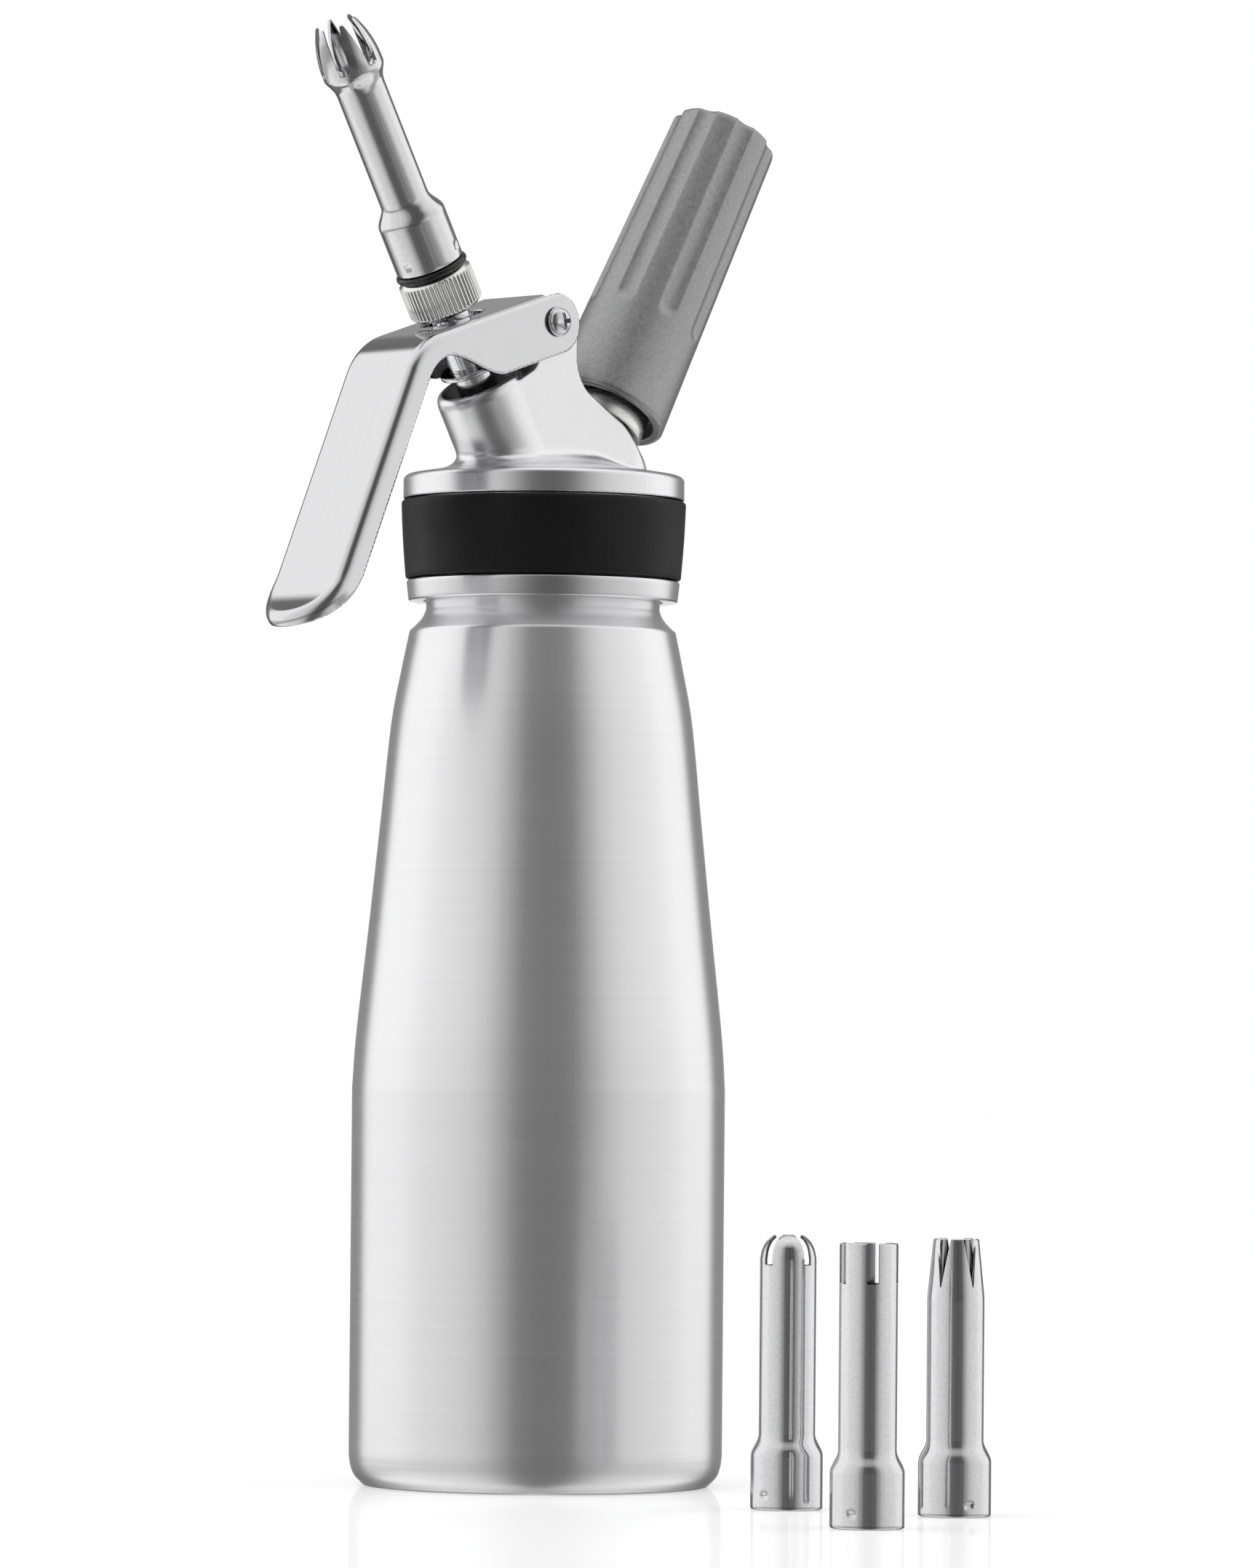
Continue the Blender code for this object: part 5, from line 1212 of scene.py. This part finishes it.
def make_world():
    """Soft studio all round, darker round the camera and in two narrow cards behind the object.

    The level is a product of three ramps: over the turn from the dark card, over the turn from
    the camera, and over the height of the direction.
    """
    look = bpy.context.scene.dispenser
    world = bpy.data.worlds.new("studio")
    bpy.context.scene.world = world
    world.use_nodes = True
    tree = world.node_tree
    way = add(tree, "ShaderNodeTexCoord").outputs["Generated"]
    half = math.sqrt(0.5)
    axes = []
    for axis in ((-half, -half, 0), (half, -half, 0)):
        made = add(tree, "ShaderNodeVectorMath", {0: way, 1: axis}, operation="DOT_PRODUCT")
        axes.append(made.outputs["Value"])
    front, right = axes
    turn = maths(tree, "ARCTAN2", right, front)
    aside = maths(tree, "SUBTRACT", turn, math.radians(look.dark_card_turn))
    turned_by = []
    for angle in (aside, turn):
        size = add(tree, "ShaderNodeMath", {0: angle}, operation="ABSOLUTE").outputs[0]
        turned_by.append(spread(tree, size, 0, 1, 0, math.pi))
    levels = []
    for half_turns, stops in zip(turned_by, (LIGHT_FROM_CARD, LIGHT_FROM_CAMERA)):
        stops = [(degrees / 180, level) for degrees, level in stops]
        levels.append(graded(tree, half_turns, stops))
    level = maths(tree, "MULTIPLY", *levels)
    height = add(tree, "ShaderNodeSeparateXYZ", {0: way}).outputs["Z"]
    below = graded(tree, spread(tree, height, 0, 1, -1, 1), LIGHT_BELOW)
    level = maths(tree, "MULTIPLY", level, below)
    # a bright screen straight behind the object, low down, and the bright ceiling
    behind = spread(tree, half_turns, 0, 1, 172 / 180, 176 / 180)
    screen = maths(tree, "MULTIPLY", behind, spread(tree, height, 1, 0, 0.10, 0.17))
    level = mixed(tree, screen, level, 0.95)
    level = mixed(tree, spread(tree, height, 0, 1, 0.70, 0.97), level, 1.0)
    level = maths(tree, "MULTIPLY", level, look.light_level)
    seen = add(tree, "ShaderNodeLightPath").outputs["Is Camera Ray"]
    background = tree.nodes["Background"]
    background.inputs["Color"].default_value = (*look.backdrop_colour, 1)
    tree.links.new(mixed(tree, seen, level, 1.0), background.inputs["Strength"])


def make_floor():
    """A wide pale floor: diffuse with a faint clear reflection, nearly unseen by glossy rays."""
    look = bpy.context.scene.dispenser
    reach = look.floor_width / 2
    steps = np.linspace(-reach, reach, 33)
    x, y = np.meshgrid(steps, steps, indexing="ij")
    mesh = bpy.data.meshes.new("floor")
    points = np.stack((x, y, np.full_like(x, -0.0001)), -1).reshape(-1, 3)
    mesh.from_pydata(points.tolist(), [], quads(33, 33).tolist())
    floor = bpy.data.objects.new("floor", mesh)
    bpy.context.scene.collection.objects.link(floor)
    material = bpy.data.materials.new("studio_floor")
    material.use_nodes = True
    tree = material.node_tree
    tree.nodes.clear()
    colour = look.floor_colour
    shade = blended(tree, grain(tree, 3, (1, 1, 1), 2), tone(colour, 0.985), colour)
    matt = add(tree, "ShaderNodeBsdfDiffuse", {"Color": shade}).outputs[0]
    clear = {"Color": (*colour, 1), "Roughness": 0.05}
    clear = add(tree, "ShaderNodeBsdfGlossy", clear).outputs[0]
    total = add(tree, "ShaderNodeMixShader", {0: look.floor_shine, 1: matt, 2: clear}).outputs[0]
    seen = add(tree, "ShaderNodeLightPath").outputs["Is Camera Ray"]
    lift = maths(tree, "MULTIPLY", seen, look.floor_lift)
    glow = add(tree, "ShaderNodeEmission", {"Color": (1, 1, 1, 1), "Strength": lift}).outputs[0]
    total = add(tree, "ShaderNodeAddShader", {0: total, 1: glow}).outputs[0]
    mirrored = add(tree, "ShaderNodeLightPath").outputs["Is Glossy Ray"]
    unseen = maths(tree, "MULTIPLY", mirrored, 0.94)
    nothing = add(tree, "ShaderNodeBsdfTransparent").outputs[0]
    total = add(tree, "ShaderNodeMixShader", {0: unseen, 1: total, 2: nothing}).outputs[0]
    add(tree, "ShaderNodeOutputMaterial", {"Surface": total})
    mesh.materials.append(material)


def make_lamp(name, place, aim, width, power):
    """A square lamp that lights the surfaces but doesn't show in them."""
    data = bpy.data.lights.new(name, "AREA")
    data.shape = "SQUARE"
    data.size = width
    data.energy = power
    lamp = bpy.data.objects.new(name, data)
    lamp.location = place
    way = Vector(aim) - Vector(place)
    lamp.rotation_euler = way.to_track_quat("-Z", "Y").to_euler()
    lamp.visible_glossy = False
    bpy.context.scene.collection.objects.link(lamp)


# the photo's camera, in pixels of a picture 2156 high
PICTURE_HEIGHT = 2156
FOCAL_LENGTH = 11106
HORIZON_ROW = 1421
MIDDLE_ROW = 1078
CAMERA_ROLL = math.radians(0.5)
CAMERA_PLACE = Vector((-1.21374, -1.23992, 0.0969))
SENSOR_HEIGHT = 36


def make_camera():
    """The photo's camera, which looks along x = y and slightly up."""
    data = bpy.data.cameras.new("camera")
    data.sensor_fit = "VERTICAL"
    data.sensor_height = SENSOR_HEIGHT
    data.lens = FOCAL_LENGTH / PICTURE_HEIGHT * SENSOR_HEIGHT
    data.clip_start = 0.05
    data.clip_end = 50
    camera = bpy.data.objects.new("camera", data)
    pitch = math.atan((HORIZON_ROW - MIDDLE_ROW) / FOCAL_LENGTH)
    up = Vector((0, 0, 1))
    forward, right = Vector((1, 1, 0)).normalized(), Vector((1, -1, 0)).normalized()
    aim = forward * math.cos(pitch) + up * math.sin(pitch)
    top = up * math.cos(pitch) - forward * math.sin(pitch)
    across = right * math.cos(CAMERA_ROLL) + top * math.sin(CAMERA_ROLL)
    top = top * math.cos(CAMERA_ROLL) - right * math.sin(CAMERA_ROLL)
    matrix = Matrix((across, top, -aim)).transposed().to_4x4()
    matrix.translation = CAMERA_PLACE
    camera.matrix_world = matrix
    bpy.context.scene.collection.objects.link(camera)
    bpy.context.scene.camera = camera


# ---------------------------------------------------------------- add-on


def metres(name, description, default):
    """A setting that is a small length."""
    return bpy.props.FloatProperty(
        name=name, description=description, default=default, unit="LENGTH", precision=5
    )


def rgb(name, description, default):
    """A setting that is a colour."""
    return bpy.props.FloatVectorProperty(
        name=name, description=description, default=default, subtype="COLOR", min=0, max=1
    )


def factor(name, description, default):
    """A setting from 0 to 1."""
    return bpy.props.FloatProperty(
        name=name, description=description, default=default, min=0, max=1, subtype="FACTOR"
    )


class DispenserSettings(bpy.types.PropertyGroup):
    """Sizes, colours and light that a user may want to change."""

    casting_cell: metres("Casting cell", "Mesh size of the head and the lever", 0.00044)
    thread_depth: metres("Thread depth", "Height of the ridge on the bottle's neck", 0.00032)
    rib_depth: metres("Rib depth", "Depth of the grooves round the tip adapter", 0.00042)
    flute_depth: metres("Flute depth", "Depth of the charger holder's flutes", 0.00074)
    dent_depth: metres("Dent depth", "Depth of the pressed dents near the tips' feet", 0.00034)
    aluminium_colour: rgb("Aluminium", "Bottle and head", (0.86, 0.86, 0.87))
    bottle_roughness: factor("Bottle roughness", "0 is a mirror", 0.30)
    steel_colour: rgb("Steel", "Lever, tips, stem", (0.74, 0.74, 0.75))
    grip_colour: rgb("Grip band", "Band round the collar", (0.006, 0.006, 0.0065))
    rubber_colour: rgb("Seals", "O-ring and seals", (0.007, 0.007, 0.007))
    holder_colour: rgb("Charger holder", "Its grey", (0.36, 0.36, 0.365))
    floor_width: bpy.props.FloatProperty(
        name="Floor width", description="Side of the floor", default=12.0, unit="LENGTH"
    )
    floor_colour: rgb("Floor", "Pale floor", (0.93, 0.93, 0.93))
    floor_shine: factor("Floor shine", "Share of clear reflection", 0.22)
    floor_lift: bpy.props.FloatProperty(
        name="Floor lift",
        description="Added brightness of the floor as the camera sees it",
        default=0.24,
        min=0,
        max=1,
    )
    backdrop_colour: rgb("Backdrop", "Colour behind the object", (1, 1, 1))
    light_level: bpy.props.FloatProperty(
        name="Light level", description="Strength of the soft light", default=1.08, min=0, max=4
    )
    dark_card_turn: bpy.props.FloatProperty(
        name="Dark card",
        description="Degrees to the right of the camera",
        default=6.0,
        min=-90,
        max=90,
    )


class DISPENSER_OT_bottle(bpy.types.Operator):
    """Make the bottle"""

    bl_idname = "dispenser.bottle"
    bl_label = "Bottle"
    bl_options = {"REGISTER", "UNDO"}

    def execute(self, context):
        make_bottle_piece()
        return {"FINISHED"}


class DISPENSER_OT_head(bpy.types.Operator):
    """Make the head, its collar and the grip band"""

    bl_idname = "dispenser.head"
    bl_label = "Head and grip band"
    bl_options = {"REGISTER", "UNDO"}

    def execute(self, context):
        make_head_top()
        make_collar()
        make_band()
        return {"FINISHED"}


class DISPENSER_OT_lever(bpy.types.Operator):
    """Make the lever"""

    bl_idname = "dispenser.lever"
    bl_label = "Lever"
    bl_options = {"REGISTER", "UNDO"}

    def execute(self, context):
        make_lever_piece()
        return {"FINISHED"}


class DISPENSER_OT_pivot(bpy.types.Operator):
    """Make the lever's screw and nut"""

    bl_idname = "dispenser.pivot"
    bl_label = "Pivot screw and nut"
    bl_options = {"REGISTER", "UNDO"}

    def execute(self, context):
        make_screw()
        make_nut()
        return {"FINISHED"}


class DISPENSER_OT_valve(bpy.types.Operator):
    """Make the valve's stem with its flange and collar"""

    bl_idname = "dispenser.valve"
    bl_label = "Valve stem"
    bl_options = {"REGISTER", "UNDO"}

    def execute(self, context):
        make_stem()
        make_washer_and_collar()
        return {"FINISHED"}


class DISPENSER_OT_adapter(bpy.types.Operator):
    """Make the ribbed tip adapter and its ring"""

    bl_idname = "dispenser.adapter"
    bl_label = "Tip adapter and ring"
    bl_options = {"REGISTER", "UNDO"}

    def execute(self, context):
        make_adapter()
        make_ring()
        return {"FINISHED"}


class DISPENSER_OT_tips(bpy.types.Operator):
    """Make the fitted tip and the three spare ones"""

    bl_idname = "dispenser.tips"
    bl_label = "Decorating tips"
    bl_options = {"REGISTER", "UNDO"}

    def execute(self, context):
        make_fitted_tip()
        make_round_tip()
        make_straight_tip()
        make_star_tip()
        return {"FINISHED"}


class DISPENSER_OT_charger_side(bpy.types.Operator):
    """Make the port ring and the fluted charger holder"""

    bl_idname = "dispenser.charger_side"
    bl_label = "Charger port and holder"
    bl_options = {"REGISTER", "UNDO"}

    def execute(self, context):
        make_port()
        make_holder_piece()
        return {"FINISHED"}


class DISPENSER_OT_inside(bpy.types.Operator):
    """Give the pieces inside their finishes"""

    bl_idname = "dispenser.inside"
    bl_label = "Finish the inside"
    bl_options = {"REGISTER", "UNDO"}

    def execute(self, context):
        finish_inner_nodes()
        return {"FINISHED"}


class DISPENSER_OT_stage(bpy.types.Operator):
    """Make the floor, the light and the camera"""

    bl_idname = "dispenser.stage"
    bl_label = "Stage"
    bl_options = {"REGISTER", "UNDO"}

    def execute(self, context):
        make_world()
        make_floor()
        make_lamp("top_softbox", (-0.35, -0.10, 1.1), (0, 0, 0.1), 1.0, 1.6)
        make_camera()
        context.scene.view_settings.view_transform = "Standard"
        return {"FINISHED"}


STEPS = (
    DISPENSER_OT_bottle,
    DISPENSER_OT_head,
    DISPENSER_OT_lever,
    DISPENSER_OT_pivot,
    DISPENSER_OT_valve,
    DISPENSER_OT_adapter,
    DISPENSER_OT_tips,
    DISPENSER_OT_charger_side,
    DISPENSER_OT_inside,
    DISPENSER_OT_stage,
)


class DISPENSER_PT_panel(bpy.types.Panel):
    """Settings and steps of the dispenser"""

    bl_label = "Whipped cream dispenser"
    bl_idname = "DISPENSER_PT_panel"
    bl_space_type = "VIEW_3D"
    bl_region_type = "UI"
    bl_category = "Dispenser"

    def draw(self, context):
        look = context.scene.dispenser
        column = self.layout.column()
        for name in DispenserSettings.__annotations__:
            column.prop(look, name)
        for step in STEPS:
            column.operator(step.bl_idname)


CLASSES = (DispenserSettings, *STEPS, DISPENSER_PT_panel)


def register():
    for made in CLASSES:
        bpy.utils.register_class(made)
    bpy.types.Scene.dispenser = bpy.props.PointerProperty(type=DispenserSettings)


def unregister():
    del bpy.types.Scene.dispenser
    for made in reversed(CLASSES):
        bpy.utils.unregister_class(made)


def main():
    """Make every piece and the stage."""
    register()
    bpy.ops.dispenser.bottle()
    bpy.ops.dispenser.head()
    bpy.ops.dispenser.lever()
    bpy.ops.dispenser.pivot()
    bpy.ops.dispenser.valve()
    bpy.ops.dispenser.adapter()
    bpy.ops.dispenser.tips()
    bpy.ops.dispenser.charger_side()
    bpy.ops.dispenser.inside()
    bpy.ops.dispenser.stage()


if __name__ == "__main__":
    main()
